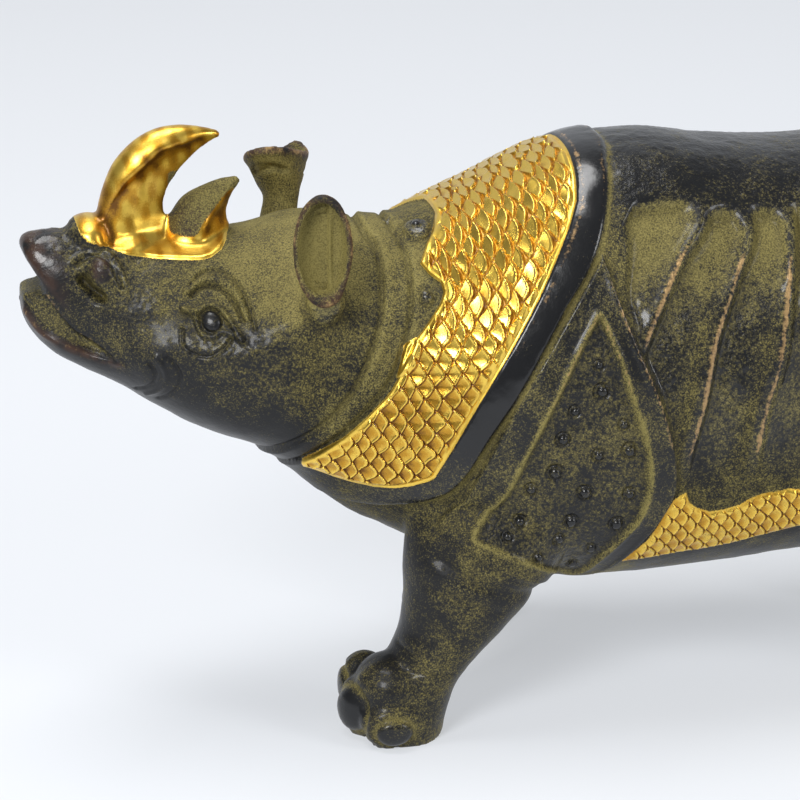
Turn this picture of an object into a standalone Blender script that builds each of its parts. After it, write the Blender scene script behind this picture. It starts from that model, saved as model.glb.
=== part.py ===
"""A cast bronze rhinoceros figurine that stands on its own four feet, modelled as the one casting it is.

The casting is lofted from rings through the nose, neck, trunk and rump. Horns, ears, legs, toes and tail are
lofts of their own, fused with it. Bands, plates, ribs, collars, eyes and scales are then raised on its skin.
Metres, +Z up. The nose points to -X, and the origin is on the floor at the middle of the footprint box.
"""

import math

import bmesh
import bpy
import numpy as np
from mathutils import Vector

# The driving dimension. Every other size is a share of it, because pose and carving go together.
LENGTH = 0.372
PART = LENGTH / 372.0

# Design coordinates are in parts of the length, with x = 0 near the breast. This is where mid length lies.
MIDDLE_X = 66.65

# How finely the lofts are fused, how the joints between them are blended, and how many triangles are kept.
FUSE_SIZE = 1.5 * PART
BLEND_ROUNDS = 10
TRIANGLES = 9400
SHARP_FROM = math.radians(45.0)

# Whatever comes this near the floor is ground flat on it.
SOLE_FLAT = 0.6

# Dark bronze with a thin olive patina.
BRONZE_COLOUR = (0.060, 0.056, 0.040, 1.0)
BRONZE_ROUGHNESS = 0.42
BRONZE_METALLIC = 0.8

# Rings of the head, neck and trunk, nose to rump: top x, top z, bottom x, bottom z, half width, pear.
# Pear above 0 makes a ring narrower at its top.
BODY_RINGS = (
    (-119.0, 157.0, -119.5, 139.0, 5.0, 0.0),
    (-117.5, 159.0, -119.0, 133.5, 10.0, 0.0),
    (-112.0, 160.0, -115.5, 127.0, 15.0, 0.05),
    (-105.0, 159.5, -110.0, 121.5, 18.5, 0.08),
    (-97.0, 157.5, -101.5, 116.5, 20.5, 0.10),
    (-87.0, 156.0, -92.0, 111.5, 23.0, 0.14),
    (-76.0, 156.0, -81.5, 104.5, 27.0, 0.16),
    (-65.0, 156.5, -71.5, 98.5, 31.5, 0.16),
    (-54.0, 156.5, -62.0, 94.0, 35.5, 0.14),
    (-44.0, 157.5, -53.0, 90.5, 38.0, 0.12),
    (-33.0, 160.0, -46.0, 87.0, 39.5, 0.10),
    (-22.0, 159.0, -40.0, 82.0, 39.0, 0.08),
    (-12.0, 156.5, -31.5, 73.5, 40.0, 0.06),
    (0.0, 156.5, -21.0, 65.0, 43.0, 0.06),
    (12.0, 160.5, -8.0, 58.0, 47.0, 0.06),
    (26.0, 166.5, 7.0, 50.0, 51.0, 0.08),
    (42.0, 174.0, 26.0, 42.0, 55.0, 0.10),
    (60.0, 179.5, 50.0, 37.5, 57.5, 0.10),
    (80.0, 180.5, 75.0, 37.0, 57.5, 0.10),
    (100.0, 177.5, 100.0, 38.0, 57.0, 0.08),
    (125.0, 175.5, 125.0, 40.0, 57.5, 0.06),
    (150.0, 176.5, 150.0, 42.0, 58.0, 0.06),
    (175.0, 178.0, 175.0, 45.0, 57.5, 0.08),
    (198.0, 176.0, 196.0, 50.0, 54.0, 0.10),
    (217.0, 169.0, 214.0, 60.0, 47.0, 0.10),
    (231.0, 157.0, 228.0, 74.0, 37.0, 0.08),
    (240.0, 143.0, 238.0, 92.0, 24.0, 0.0),
    (243.0, 128.0, 243.0, 108.0, 9.0, 0.0),
)
BODY_SQUARENESS = 2.25

# The notch between the beak and the lower lip, cut across the front of the mouth.
MOUTH_CORNER = (-111.0, 142.0)
MOUTH_TOP_OUT = (-122.5, 161.0)
MOUTH_BOTTOM_OUT = (-126.0, 143.0)

# The edges of the two lips. The gum between them leans in from the lower one to under the upper one.
UPPER_LIP = (
    (-124.0, 158.0), (-116.0, 147.5), (-110.5, 140.0), (-106.6, 134.5), (-104.1, 131.8), (-100.4, 129.4),
    (-96.2, 126.5), (-92.7, 124.0), (-90.0, 121.0),
)
LOWER_LIP = (
    (-126.0, 139.5), (-119.4, 136.0), (-115.5, 130.5), (-109.7, 127.2), (-102.2, 123.8), (-97.0, 122.3),
    (-90.0, 121.0),
)
# Shares of the beak's half width: the step inside the lower lip, the gum's lean, the upper lip's step out.
# The lips form between these two distances ahead of x = 0.
LIP_STEP = 0.10
GUM_LEAN = 0.18
LIP_OUT = 0.09
LIPS_START = (88.0, 103.0)

# Front horn: centre x, centre z, half depth across the curve, half width, nose to tip.
FRONT_HORN = (
    (-84.0, 146.0, 15.0, 13.0),
    (-84.5, 157.0, 12.0, 10.5),
    (-84.5, 166.0, 10.2, 8.5),
    (-81.5, 175.0, 9.4, 7.4),
    (-75.5, 181.5, 8.4, 6.6),
    (-68.5, 185.2, 6.0, 5.2),
    (-61.5, 187.0, 3.2, 3.4),
    (-56.0, 187.3, 1.0, 1.2),
)
REAR_HORN = (
    (-64.5, 148.0, 13.0, 11.5),
    (-64.0, 156.0, 11.0, 9.6),
    (-62.3, 162.3, 8.8, 7.4),
    (-58.5, 167.3, 5.6, 4.9),
    (-54.5, 170.8, 3.0, 2.8),
    (-51.0, 172.6, 0.9, 0.9),
)
EDGE_PINCH = 0.62
# Behind the thick front roll of the front horn is a thinner web: its outline, and how much thinner it is.
HORN_WEB = (
    (-60.0, 187.5), (-66.7, 184.9), (-74.9, 183.3), (-80.3, 178.8), (-86.0, 174.0), (-89.5, 170.0),
    (-92.2, 165.0), (-92.7, 159.5), (-90.5, 156.0), (-72.0, 158.0), (-71.0, 170.0), (-66.0, 176.0),
    (-58.0, 180.0), (-52.0, 184.0),
)
WEB_THIN = 0.42

# A fold of skin lies across the nose before the front horn: its middle and half sizes.
NOSE_FOLD = ((-98.5, 0.0, 157.5), (6.5, 12.5, 7.0))

# Ears: a short round stem that flares into an oval dish. The near one faces out, and the far one up and out.
# Each has its root, its dish's middle, the way the dish faces, the way its long half points, and its curl.
NEAR_EAR = ((-31.0, -29.0, 142.0), (-33.0, -44.5, 162.0), (-0.22, -1.0, 0.10), (0.0, 0.0, 1.0), 0.0)
FAR_EAR = ((-35.0, 29.0, 142.0), (-32.5, 38.0, 168.2), (-0.04, 0.45, 0.89), (0.54, 0.74, -0.35), 7.0)
EAR_STEM_RADIUS = 6.3
EAR_SLIM = 0.88
EAR_HALF_WIDTH = 8.6
EAR_HALF_LENGTH = 16.5
EAR_FLARE = 14.0
EAR_HOLLOW = 4.4
EAR_RIM = 1.6

# Legs: z, front x, back x, centre y, half width, down to the sole.
FORE_LEG = (
    (92.0, 4.0, 56.0, 27.0, 14.0),
    (72.0, -4.0, 55.0, 34.0, 18.5),
    (58.0, -6.5, 45.5, 37.0, 19.0),
    (46.0, -7.0, 36.0, 38.0, 17.5),
    (35.0, -8.5, 26.5, 38.5, 15.5),
    (26.0, -12.0, 17.0, 39.0, 14.5),
    (17.0, -17.5, 10.0, 39.0, 15.0),
    (8.0, -20.5, 6.5, 39.0, 16.0),
    (0.0, -19.0, 5.0, 39.0, 15.5),
)
HIND_LEG = (
    (98.0, 166.0, 220.0, 27.0, 15.0),
    (78.0, 162.0, 223.0, 34.0, 19.0),
    (60.0, 168.0, 216.0, 38.0, 19.5),
    (46.0, 176.0, 213.0, 39.0, 17.5),
    (35.0, 182.0, 212.0, 39.5, 15.5),
    (26.0, 182.0, 211.0, 40.0, 14.5),
    (17.0, 179.0, 209.0, 40.0, 15.0),
    (8.0, 176.0, 208.0, 40.0, 16.0),
    (0.0, 176.5, 206.0, 40.0, 15.5),
)
# How far back each far-side leg stands from its near-side partner, in a slow walk.
FAR_FORE_BACK = 38.0
FAR_HIND_FORWARD = 11.0

# Toes and knuckle of a foot: forward, outward and up from its middle front, and the half sizes.
TOES = (
    ((-3.0, 0.0, 9.0), (8.5, 8.6, 10.5)),
    ((4.0, 10.5, 7.0), (10.0, 8.0, 8.5)),
    ((-0.5, -11.0, 11.5), (8.5, 7.6, 11.0)),
    ((5.0, 3.0, 17.0), (11.5, 12.5, 10.0)),
)

# Tail: x, z, half thickness, down the middle of the rump, with a tuft at its end.
TAIL = (
    (234.0, 152.0, 6.5),
    (243.0, 146.0, 5.6),
    (248.0, 132.0, 4.8),
    (248.5, 116.0, 4.2),
    (247.0, 102.0, 4.6),
    (245.5, 92.0, 5.6),
    (244.5, 84.0, 3.6),
    (244.0, 80.0, 1.2),
)


# Carving, drawn on the side of the figure as x and z, and the same on both sides.
# Two collars behind the head: the folds between them run from the top of the neck to under the jaw.
COLLAR_FOLDS = (
    ((-14.5, 170.0), (-13.5, 157.0), (-11.0, 153.0), (-11.5, 143.5), (-14.5, 132.0), (-22.0, 116.0),
     (-31.5, 104.0), (-47.5, 91.0), (-56.0, 82.0)),
    ((-5.5, 170.0), (-4.5, 156.5), (-3.0, 154.0), (-2.5, 147.0), (-4.0, 137.0), (-8.0, 125.5),
     (-13.5, 115.5), (-26.0, 101.5), (-37.0, 91.0), (-46.0, 80.0)),
)
# The gilt mantle over the withers, from its ragged front edge round to its back edge.
MANTLE = (
    (12.0, 175.0), (10.5, 161.0), (8.5, 158.0), (1.0, 149.0), (6.0, 145.0), (5.0, 140.0), (-2.5, 131.0),
    (-9.5, 119.0), (-14.0, 112.5), (-26.0, 100.5), (-37.0, 91.0), (-32.5, 87.5), (-21.5, 84.0),
    (-10.5, 83.5), (0.0, 87.0), (2.5, 90.5), (10.5, 105.5), (18.0, 118.0), (31.0, 138.0),
    (42.0, 155.5), (49.0, 167.0), (51.5, 175.5), (52.5, 181.0), (53.0, 190.0),
)
# The strap behind the mantle lies between the mantle and this line, and turns forward under the mantle.
STRAP_BACK = (
    (64.5, 192.0), (64.0, 181.0), (61.5, 177.0), (58.5, 169.0), (54.0, 158.0), (48.5, 149.0),
    (41.0, 139.0), (33.0, 126.0), (25.5, 113.5), (17.0, 100.5), (9.5, 87.0), (3.0, 80.5),
    (-8.5, 76.5), (-25.0, 74.0), (-44.0, 74.0),
)
# The shoulder plate: its outer border, and the riveted field inside the border.
PLATE_OUT = (
    (54.0, 154.5), (48.0, 146.5), (39.0, 133.5), (26.0, 113.0), (17.0, 95.5), (10.0, 80.0), (2.5, 70.5),
    (13.5, 62.0), (26.5, 54.0), (40.0, 48.0), (52.0, 46.0), (61.0, 54.5), (69.5, 68.0), (74.5, 79.0),
    (75.0, 87.5), (73.0, 99.0), (68.5, 113.5), (61.5, 130.5), (57.5, 142.0),
)
PLATE_IN = (
    (51.0, 138.0), (44.0, 126.5), (36.5, 112.0), (28.0, 95.0), (22.5, 82.5), (13.0, 69.5), (15.5, 66.5),
    (25.0, 62.0), (34.5, 57.0), (48.0, 49.5), (54.5, 59.0), (63.0, 71.5), (66.0, 82.5), (65.0, 96.0),
    (61.0, 109.0), (56.5, 124.0),
)
# The flutes along the flank: the ridges between them, how high each one's arched top is, and their field.
RIDGES = (
    ((58.0, 171.0), (60.5, 160.0), (60.0, 152.0), (59.0, 142.0), (63.0, 130.5), (69.0, 114.0), (72.0, 104.0)),
    ((92.0, 172.0), (87.5, 165.0), (86.0, 160.5), (79.0, 153.0), (72.0, 141.5), (67.0, 132.0), (62.0, 120.0)),
    ((100.0, 172.0), (101.0, 162.5), (101.5, 157.0), (95.5, 145.5), (88.0, 128.0), (84.0, 109.0),
     (80.0, 94.0), (77.0, 78.0)),
    ((112.0, 172.0), (114.5, 162.5), (115.0, 158.5), (113.0, 147.0), (110.5, 133.5), (108.0, 118.5),
     (103.5, 103.5), (99.0, 74.0)),
)
FLUTE_TOPS = (168.5, 165.5, 165.0, 165.0)
# Under its top a flute turns from an arched dish to a rising rib, between these depths. Low down it fades.
FLUTE_ARCH = (10.0, 34.0)
FLUTE_LOW_END = (78.0, 96.0)
FLUTE_FIELD = (
    (58.5, 150.0), (60.0, 161.0), (68.0, 170.0), (83.5, 171.0), (121.0, 168.0), (121.0, 76.0), (115.5, 76.5),
    (106.0, 77.0), (99.0, 75.0), (89.0, 73.0), (80.5, 75.0), (76.5, 81.0), (73.5, 99.0), (69.0, 113.5),
    (62.0, 130.5), (57.5, 142.0),
)
# The gilt strip along the belly.
BELLY_STRIP = (
    (61.5, 52.5), (68.0, 62.0), (71.5, 70.0), (74.5, 77.5), (79.0, 80.0), (80.5, 76.0), (87.5, 72.0),
    (97.0, 73.5), (104.0, 77.0), (121.0, 76.5), (121.0, 62.0), (118.5, 62.0), (96.5, 56.5), (78.0, 54.5),
)
# The hidden half repeats the flutes and the strip backwards from here, and the plate narrower on the hip.
MIRROR_X = 121.0
HIP_APEX_X = 186.0
HIP_NARROW = 0.75

# Face: eye ball, the almond round it, the ridge of the cheek, and the pad that the horns stand on.
EYE = (-64.5, 137.0)
EYE_RADIUS = 3.2
EYE_RIM = (
    (-73.5, 138.5), (-69.0, 142.5), (-63.5, 143.5), (-58.5, 140.0), (-55.5, 133.5), (-60.0, 131.0),
    (-65.5, 130.0), (-70.5, 132.5), (-73.5, 138.5),
)
CHEEK_RIDGE = ((-82.0, 124.5), (-73.0, 127.8), (-64.0, 127.0), (-55.0, 127.5), (-41.0, 134.4), (-30.5, 142.0))
# Nostril: the lump over it and the slot under the lump.
NOSTRIL_LUMP = (-97.5, 150.0)
NOSTRIL_SLOT = ((-103.3, 148.0), (-100.0, 145.3), (-96.2, 142.8))
HORN_PAD = (
    (-101.0, 170.0), (-99.0, 156.5), (-95.5, 153.5), (-85.5, 152.0), (-74.0, 152.0), (-66.5, 151.0),
    (-58.0, 154.5), (-53.0, 162.0), (-50.0, 170.0),
)

# Where the collars and the strap start along x, how wide the strap is, and where the pad ends on the horns.
COLLARS_START = (-62.0, -56.0)
STRAP_START = (-30.0, 0.0)
STRAP_REACH = (13.0, 16.0)
PAD_TOP = (160.0, 164.0)

# How far the carving stands out.
COLLAR_RISE = 1.5
COLLAR_TAPER = 5.0
MANTLE_RISE = 1.2
STRAP_RISE = 1.6
PLATE_BORDER_RISE = 2.0
PLATE_FIELD_RISE = 0.9
FLUTE_DEPTH = 3.2
STRIP_RISE = 1.0
EYE_RISE = 2.2
LID_RISE = 1.3
LID_WIDTH = 1.6
CHEEK_RISE = 2.2
CHEEK_WIDTH = 7.0
LUMP_RISE = 3.0
LUMP_WIDTH = 4.6
SLOT_DEPTH = 3.4
SLOT_WIDTH = 2.3
PAD_RISE = 1.0


def clear_scene():
    for old in list(bpy.data.objects):
        bpy.data.objects.remove(old)


def smooth_rows(rows, steps):
    """Rows of numbers passed through by a Catmull-Rom curve, with some steps for each gap between two."""
    table = np.array(rows, float)
    padded = np.vstack([2 * table[0] - table[1], table, 2 * table[-1] - table[-2]])
    out = []
    for i in range(len(table) - 1):
        a, b, c, d = padded[i : i + 4]
        for share in np.arange(steps) / steps:
            out.append(
                0.5
                * (
                    2 * b
                    + (c - a) * share
                    + (2 * a - 5 * b + 4 * c - d) * share**2
                    + (3 * b - a - 3 * c + d) * share**3
                )
            )
    out.append(table[-1])
    return np.array(out)


def loft(name, rings):
    """A closed mesh through rings of equal length, in parts, with a flat cap on each end."""
    form = bmesh.new()
    loops = [[form.verts.new(Vector(p) * PART) for p in ring] for ring in rings]
    count = len(loops[0])
    for near, far in zip(loops, loops[1:]):
        for i in range(count):
            j = (i + 1) % count
            form.faces.new((near[i], near[j], far[j], far[i]))
    form.faces.new(reversed(loops[0]))
    form.faces.new(loops[-1])
    bmesh.ops.triangulate(form, faces=[f for f in form.faces if len(f.verts) > 4])
    bmesh.ops.recalc_face_normals(form, faces=form.faces)
    mesh = bpy.data.meshes.new(name)
    form.to_mesh(mesh)
    form.free()
    return mesh


def body_form():
    """Rings that each stand on the line from their top to their bottom point."""
    rings = []
    power = 2.0 / BODY_SQUARENESS
    for top_x, top_z, low_x, low_z, half, pear in smooth_rows(BODY_RINGS, 4):
        ring = []
        for turn in np.linspace(0.0, 2 * math.pi, 64, endpoint=False):
            rise, side = math.cos(turn), math.sin(turn)
            rise = math.copysign(abs(rise) ** power, rise)
            side = math.copysign(abs(side) ** power, side) * (1.0 - pear * rise)
            share = (1.0 - rise) / 2
            ring.append(
                (top_x + (low_x - top_x) * share, half * side, top_z + (low_z - top_z) * share)
            )
        rings.append(ring)
    return loft("body", rings)


def horn_form(name, stations):
    """A curved horn in the middle plane, round in front and pinched to an edge behind."""
    rows = smooth_rows(stations, 5)
    rings = []
    for i, (x, z, depth, half) in enumerate(rows):
        ahead, behind = rows[min(i + 1, len(rows) - 1)], rows[max(i - 1, 0)]
        along = np.array([ahead[0] - behind[0], ahead[1] - behind[1]])
        along /= np.linalg.norm(along)
        back = (along[1], -along[0])
        ring = []
        for turn in np.linspace(0.0, 2 * math.pi, 40, endpoint=False):
            reach, side = math.cos(turn), math.sin(turn)
            narrow = 1.0 - EDGE_PINCH * max(reach, 0.0) ** 0.8
            ring.append((x + back[0] * depth * reach, half * side * narrow, z + back[1] * depth * reach))
        rings.append(ring)
    return loft(name, rings)


def tube_form(name, points, radii, sides=28):
    """A round tube through points, each with its own radius."""
    rows = smooth_rows([(*p, r) for p, r in zip(points, radii)], 4)
    rings = []
    for i, row in enumerate(rows):
        ahead, behind = rows[min(i + 1, len(rows) - 1)], rows[max(i - 1, 0)]
        along = Vector(ahead[:3] - behind[:3]).normalized()
        across = along.cross(Vector((0.0, 1.0, 0.0)))
        if across.length < 0.3:
            across = along.cross(Vector((1.0, 0.0, 0.0)))
        across.normalize()
        other = along.cross(across)
        ring = []
        for turn in np.linspace(0.0, 2 * math.pi, sides, endpoint=False):
            ring.append(Vector(row[:3]) + (across * math.cos(turn) + other * math.sin(turn)) * row[3])
        rings.append(ring)
    return loft(name, rings)


def ear_form(name, centre, facing, long_way, curl):
    """The flare and the oval dish of an ear, hollowed on the face that it turns to the world."""
    facing = Vector(facing).normalized()
    along = Vector(long_way)
    along = (along - facing * facing.dot(along)).normalized()
    across = facing.cross(along)
    slim = EAR_STEM_RADIUS * EAR_SLIM
    # Up the flare, round the rim and in to the middle of the hollow: half width, half length, height.
    profile = (
        (slim, slim, -EAR_FLARE),
        (slim * 1.1, slim * 1.3, -EAR_FLARE * 0.8),
        (slim * 1.35, EAR_HALF_LENGTH * 0.62, -EAR_FLARE * 0.54),
        (EAR_HALF_WIDTH * 0.92, EAR_HALF_LENGTH * 0.9, -EAR_FLARE * 0.23),
        (EAR_HALF_WIDTH, EAR_HALF_LENGTH, -0.6),
        (EAR_HALF_WIDTH * 0.95, EAR_HALF_LENGTH * 0.97, 1.0),
        (EAR_HALF_WIDTH - EAR_RIM, EAR_HALF_LENGTH - EAR_RIM, 0.6),
        (EAR_HALF_WIDTH - EAR_RIM * 1.8, EAR_HALF_LENGTH - EAR_RIM * 1.8, -EAR_HOLLOW * 0.4),
        (EAR_HALF_WIDTH * 0.5, EAR_HALF_LENGTH * 0.6, -EAR_HOLLOW * 0.85),
        (0.2, 0.4, -EAR_HOLLOW),
    )
    rings = []
    for half_width, half_length, height in smooth_rows(profile, 3):
        ring = []
        for turn in np.linspace(0.0, 2 * math.pi, 48, endpoint=False):
            flat = across * (half_width * math.cos(turn)) + along * (half_length * math.sin(turn))
            tip = max(half_length * math.sin(turn) / EAR_HALF_LENGTH, 0.0)
            ring.append(Vector(centre) + flat + facing * (height + curl * tip**3))
        rings.append(ring)
    return loft(name, rings)


def leg_form(name, stations, side, shift):
    """A leg of level rings, standing on the floor."""
    rings = []
    for z, front, back, y, half in smooth_rows(stations, 4):
        ring = []
        for turn in np.linspace(0.0, 2 * math.pi, 40, endpoint=False):
            x = (front + back) / 2 + (back - front) / 2 * math.cos(turn) + shift
            ring.append((x, side * y + half * math.sin(turn), z))
        rings.append(ring)
    return loft(name, rings)


def egg_form(name, middle, half):
    """An egg shape, for toes, cut off by the floor."""
    form = bmesh.new()
    bmesh.ops.create_uvsphere(form, u_segments=28, v_segments=18, radius=1.0)
    for vert in form.verts:
        place = Vector([m + h * c for m, h, c in zip(middle, half, vert.co)])
        place.z = max(place.z, 0.0)
        vert.co = place * PART
    mesh = bpy.data.meshes.new(name)
    form.to_mesh(mesh)
    form.free()
    return mesh


def foot_forms(name, stations, side, shift):
    """The toes round the front of the foot that the last ring of a leg gives."""
    _, front, _, y, _ = stations[-1]
    for i, (place, half) in enumerate(TOES):
        middle = (front + shift + place[0] + 2.0, side * (y + place[1]), place[2])
        yield egg_form(f"{name}_toe_{i}", middle, half)


def all_forms():
    yield body_form()
    yield horn_form("front_horn", FRONT_HORN)
    yield horn_form("rear_horn", REAR_HORN)
    yield egg_form("nose_fold", *NOSE_FOLD)
    yield tube_form("tail", [(x, 0.0, z) for x, z, _ in TAIL], [r for _, _, r in TAIL])
    radii = (EAR_STEM_RADIUS, EAR_STEM_RADIUS * 0.95, EAR_STEM_RADIUS * EAR_SLIM)
    for root, centre, facing, long_way, curl in (NEAR_EAR, FAR_EAR):
        heel = Vector(centre) - Vector(facing).normalized() * (EAR_FLARE - 2.0)
        bend = (Vector(root) + heel) / 2
        yield tube_form("ear_stem", (root, bend, heel), radii)
        yield ear_form("ear", centre, facing, long_way, curl)
    for side in (-1, 1):
        fore = FAR_FORE_BACK if side > 0 else 0.0
        hind = -FAR_HIND_FORWARD if side > 0 else 0.0
        for stations, shift in ((FORE_LEG, fore), (HIND_LEG, hind)):
            yield leg_form("leg", stations, side, shift)
            yield from foot_forms("leg", stations, side, shift)


def add_object(name, mesh, collection):
    thing = bpy.data.objects.new(name, mesh)
    collection.objects.link(thing)
    return thing


def mouth_cutter():
    """A wedge across the whole beak, thin end at the corner of the mouth."""
    profile = (MOUTH_CORNER, MOUTH_TOP_OUT, MOUTH_BOTTOM_OUT)
    rings = [[(x, y, z) for x, z in profile] for y in (-40.0, 40.0)]
    return loft("mouth", rings)


def evaluated_mesh(thing):
    graph = bpy.context.evaluated_depsgraph_get()
    return bpy.data.meshes.new_from_object(thing.evaluated_get(graph))


def fused_skin(fuse_size):
    """All the forms as one closed mesh: joined, cut at the mouth and fused by a voxel remesh."""
    bench = bpy.data.collections.new("bench")
    bpy.context.scene.collection.children.link(bench)
    whole = bmesh.new()
    for mesh in all_forms():
        whole.from_mesh(mesh)
    joined = bpy.data.meshes.new("joined")
    whole.to_mesh(joined)
    whole.free()
    thing = add_object("fused", joined, bench)
    fuse = thing.modifiers.new("fuse", "REMESH")
    fuse.mode = "VOXEL"
    fuse.voxel_size = fuse_size
    cutter = add_object("mouth_cutter", mouth_cutter(), bench)
    cut = thing.modifiers.new("mouth", "BOOLEAN")
    cut.operation = "DIFFERENCE"
    cut.object = cutter
    again = thing.modifiers.new("fuse_again", "REMESH")
    again.mode = "VOXEL"
    again.voxel_size = fuse_size
    mesh = evaluated_mesh(thing)
    for old in (thing, cutter):
        bpy.data.objects.remove(old)
    bpy.data.collections.remove(bench)
    return mesh


def points_of(mesh):
    places = np.empty(len(mesh.vertices) * 3, np.float32)
    mesh.vertices.foreach_get("co", places)
    return places.reshape(-1, 3).astype(float)


def put_points(mesh, places):
    mesh.vertices.foreach_set("co", places.astype(np.float32).ravel())
    mesh.update()


def edges_of(mesh):
    ends = np.empty(len(mesh.edges) * 2, np.int32)
    mesh.edges.foreach_get("vertices", ends)
    return ends.reshape(-1, 2)


def neighbour_mean(values, ends):
    """The mean of each vertex's neighbours."""
    count = np.bincount(ends.ravel(), minlength=len(values)).astype(float)
    total = np.empty_like(values)
    for k in range(values.shape[1]):
        total[:, k] = np.bincount(ends[:, 0], values[ends[:, 1], k], len(values))
        total[:, k] += np.bincount(ends[:, 1], values[ends[:, 0], k], len(values))
    return total / np.maximum(count, 1.0)[:, None]


def relax(places, ends, weight, rounds):
    """Moves each vertex towards its neighbours, and half way back out, so that nothing shrinks much."""
    for i in range(round(rounds)):
        pull = 0.6 if i % 2 == 0 else -0.4
        places = places + (neighbour_mean(places, ends) - places) * (pull * weight)[:, None]
    return places


def ease(value, low, high):
    """0 below low and 1 above high, with a smooth rise between."""
    share = np.clip((value - low) / (high - low), 0.0, 1.0)
    return share * share * (3 - 2 * share)


def line_distance(x, z, line):
    """Distance to a drawn line, above 0 on the right of its way."""
    best = np.full(len(x), 1e9)
    sign = np.ones(len(x))
    for (ax, az), (bx, bz) in zip(line, line[1:]):
        dx, dz = bx - ax, bz - az
        share = np.clip(((x - ax) * dx + (z - az) * dz) / (dx * dx + dz * dz), 0.0, 1.0)
        away = np.hypot(x - ax - share * dx, z - az - share * dz)
        nearer = away < best
        best = np.where(nearer, away, best)
        side = np.where((x - ax) * dz - (z - az) * dx > 0, 1.0, -1.0)
        sign = np.where(nearer, side, sign)
    return best * sign


def field_depth(x, z, outline):
    """Distance inside a closed outline, below 0 outside it."""
    closed = list(outline) + [outline[0]]
    away = np.abs(line_distance(x, z, closed))
    inside = np.zeros(len(x), bool)
    for (ax, az), (bx, bz) in zip(closed, closed[1:]):
        crosses = (az > z) != (bz > z)
        reach = ax + (z - az) / np.where(bz == az, 1e-9, bz - az) * (bx - ax)
        inside ^= crosses & (x < reach)
    return np.where(inside, away, -away)


def plate_relief(x, z):
    outer, inner = field_depth(x, z, PLATE_OUT), field_depth(x, z, PLATE_IN)
    rise = PLATE_BORDER_RISE * ease(outer, -0.6, 1.4)
    rise -= (PLATE_BORDER_RISE - PLATE_FIELD_RISE) * ease(inner, -0.9, 0.9)
    return rise


def least(values, blend):
    """The least of several distances, with the corner rounded where two of them meet."""
    return -blend * np.log(sum(np.exp(-np.clip(v, -40.0, 60.0) / blend) for v in values))


def flute_relief(x, z):
    """Flutes with arched tops, each of which rises again towards the sharp ridge behind it."""
    field = ease(field_depth(x, z, FLUTE_FIELD), 0.0, 1.5) * (0.25 + 0.75 * ease(z, *FLUTE_LOW_END))
    mirror_ridge = tuple((2 * MIRROR_X - ridge_x, ridge_z) for ridge_x, ridge_z in RIDGES[-1])
    dip = np.zeros(len(x))
    for left, right, top in zip(RIDGES, RIDGES[1:] + (mirror_ridge,), FLUTE_TOPS):
        from_left, from_right = -line_distance(x, z, left), line_distance(x, z, right)
        share = np.clip(from_left / np.maximum(from_left + from_right, 1.0), 0.0, 1.0)
        dish = 0.85 * (1.0 - np.abs(2 * share - 1.0) ** 3)
        rising = 1.0 - np.sin(share * math.pi / 2)
        form = dish if right is mirror_ridge else dish + (rising - dish) * ease(top - z, *FLUTE_ARCH)
        here = form * ease(least((from_left, from_right, top - z), 2.0), -0.4, 3.2)
        dip = np.where((from_left > -0.5) & (from_right > -0.5), np.maximum(dip, here), dip)
    return -FLUTE_DEPTH * dip * field


def side_relief(x, z):
    """Everything that both halves of the body share."""
    rise = flute_relief(x, z)
    rise += STRIP_RISE * ease(field_depth(x, z, BELLY_STRIP), -0.6, 0.6)
    return rise


def relief(places, normals):
    """How far the skin stands out at each place, in parts."""
    x, y, z = places[:, 0], places[:, 1], places[:, 2]
    outward = ease(normals[:, 1] * np.sign(y), -0.05, 0.25)
    upright = ease(normals[:, 2], 0.2, 0.8)
    mirrored = np.where(x > MIRROR_X, 2 * MIRROR_X - x, x)
    rise = side_relief(mirrored, z)
    rise += plate_relief(x, z)
    rise += plate_relief(54.0 + (HIP_APEX_X - x) / HIP_NARROW, z)
    rise *= outward
    around = np.maximum(outward, upright)
    collars = np.zeros(len(x))
    for fold in COLLAR_FOLDS:
        behind_fold = -line_distance(x, z, fold)
        step = (0.35 + 0.65 * np.exp(-behind_fold / COLLAR_TAPER)) * ease(behind_fold, 0.0, 1.0)
        collars = np.where(behind_fold < 0, collars, COLLAR_RISE * step)
    strap = -line_distance(x, z, STRAP_BACK)
    mantle = field_depth(x, z, MANTLE)
    ahead_of_strap = ease(-strap, -0.6, 0.8)
    rise += around * ahead_of_strap * collars * ease(x, *COLLARS_START)
    band = ahead_of_strap * ease(-mantle, -0.8, 0.8) * (1.0 - ease(-strap, *STRAP_REACH))
    rise += around * STRAP_RISE * band * ease(x, *STRAP_START)
    rise += around * MANTLE_RISE * ease(mantle, -0.7, 0.7)
    face = ease(normals[:, 1] * np.sign(y), 0.1, 0.4)
    rise += face * EYE_RISE * ease(EYE_RADIUS - np.hypot(x - EYE[0], z - EYE[1]), -0.8, 1.8)
    rise += face * LID_RISE * np.exp(-((line_distance(x, z, EYE_RIM) / LID_WIDTH) ** 2))
    rise += face * CHEEK_RISE * np.exp(-((line_distance(x, z, CHEEK_RIDGE) / CHEEK_WIDTH) ** 2))
    from_lump = np.hypot(x - NOSTRIL_LUMP[0], z - NOSTRIL_LUMP[1])
    rise += face * LUMP_RISE * np.exp(-((from_lump / LUMP_WIDTH) ** 2))
    rise -= face * SLOT_DEPTH * np.exp(-((line_distance(x, z, NOSTRIL_SLOT) / SLOT_WIDTH) ** 2))
    rise += PAD_RISE * ease(field_depth(x, z, HORN_PAD), -0.8, 0.8) * (1.0 - ease(z, *PAD_TOP))
    return rise


def normals_of(mesh):
    ways = np.empty(len(mesh.vertices) * 3, np.float32)
    mesh.vertex_normals.foreach_get("vector", ways)
    return ways.reshape(-1, 3).astype(float)


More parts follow.
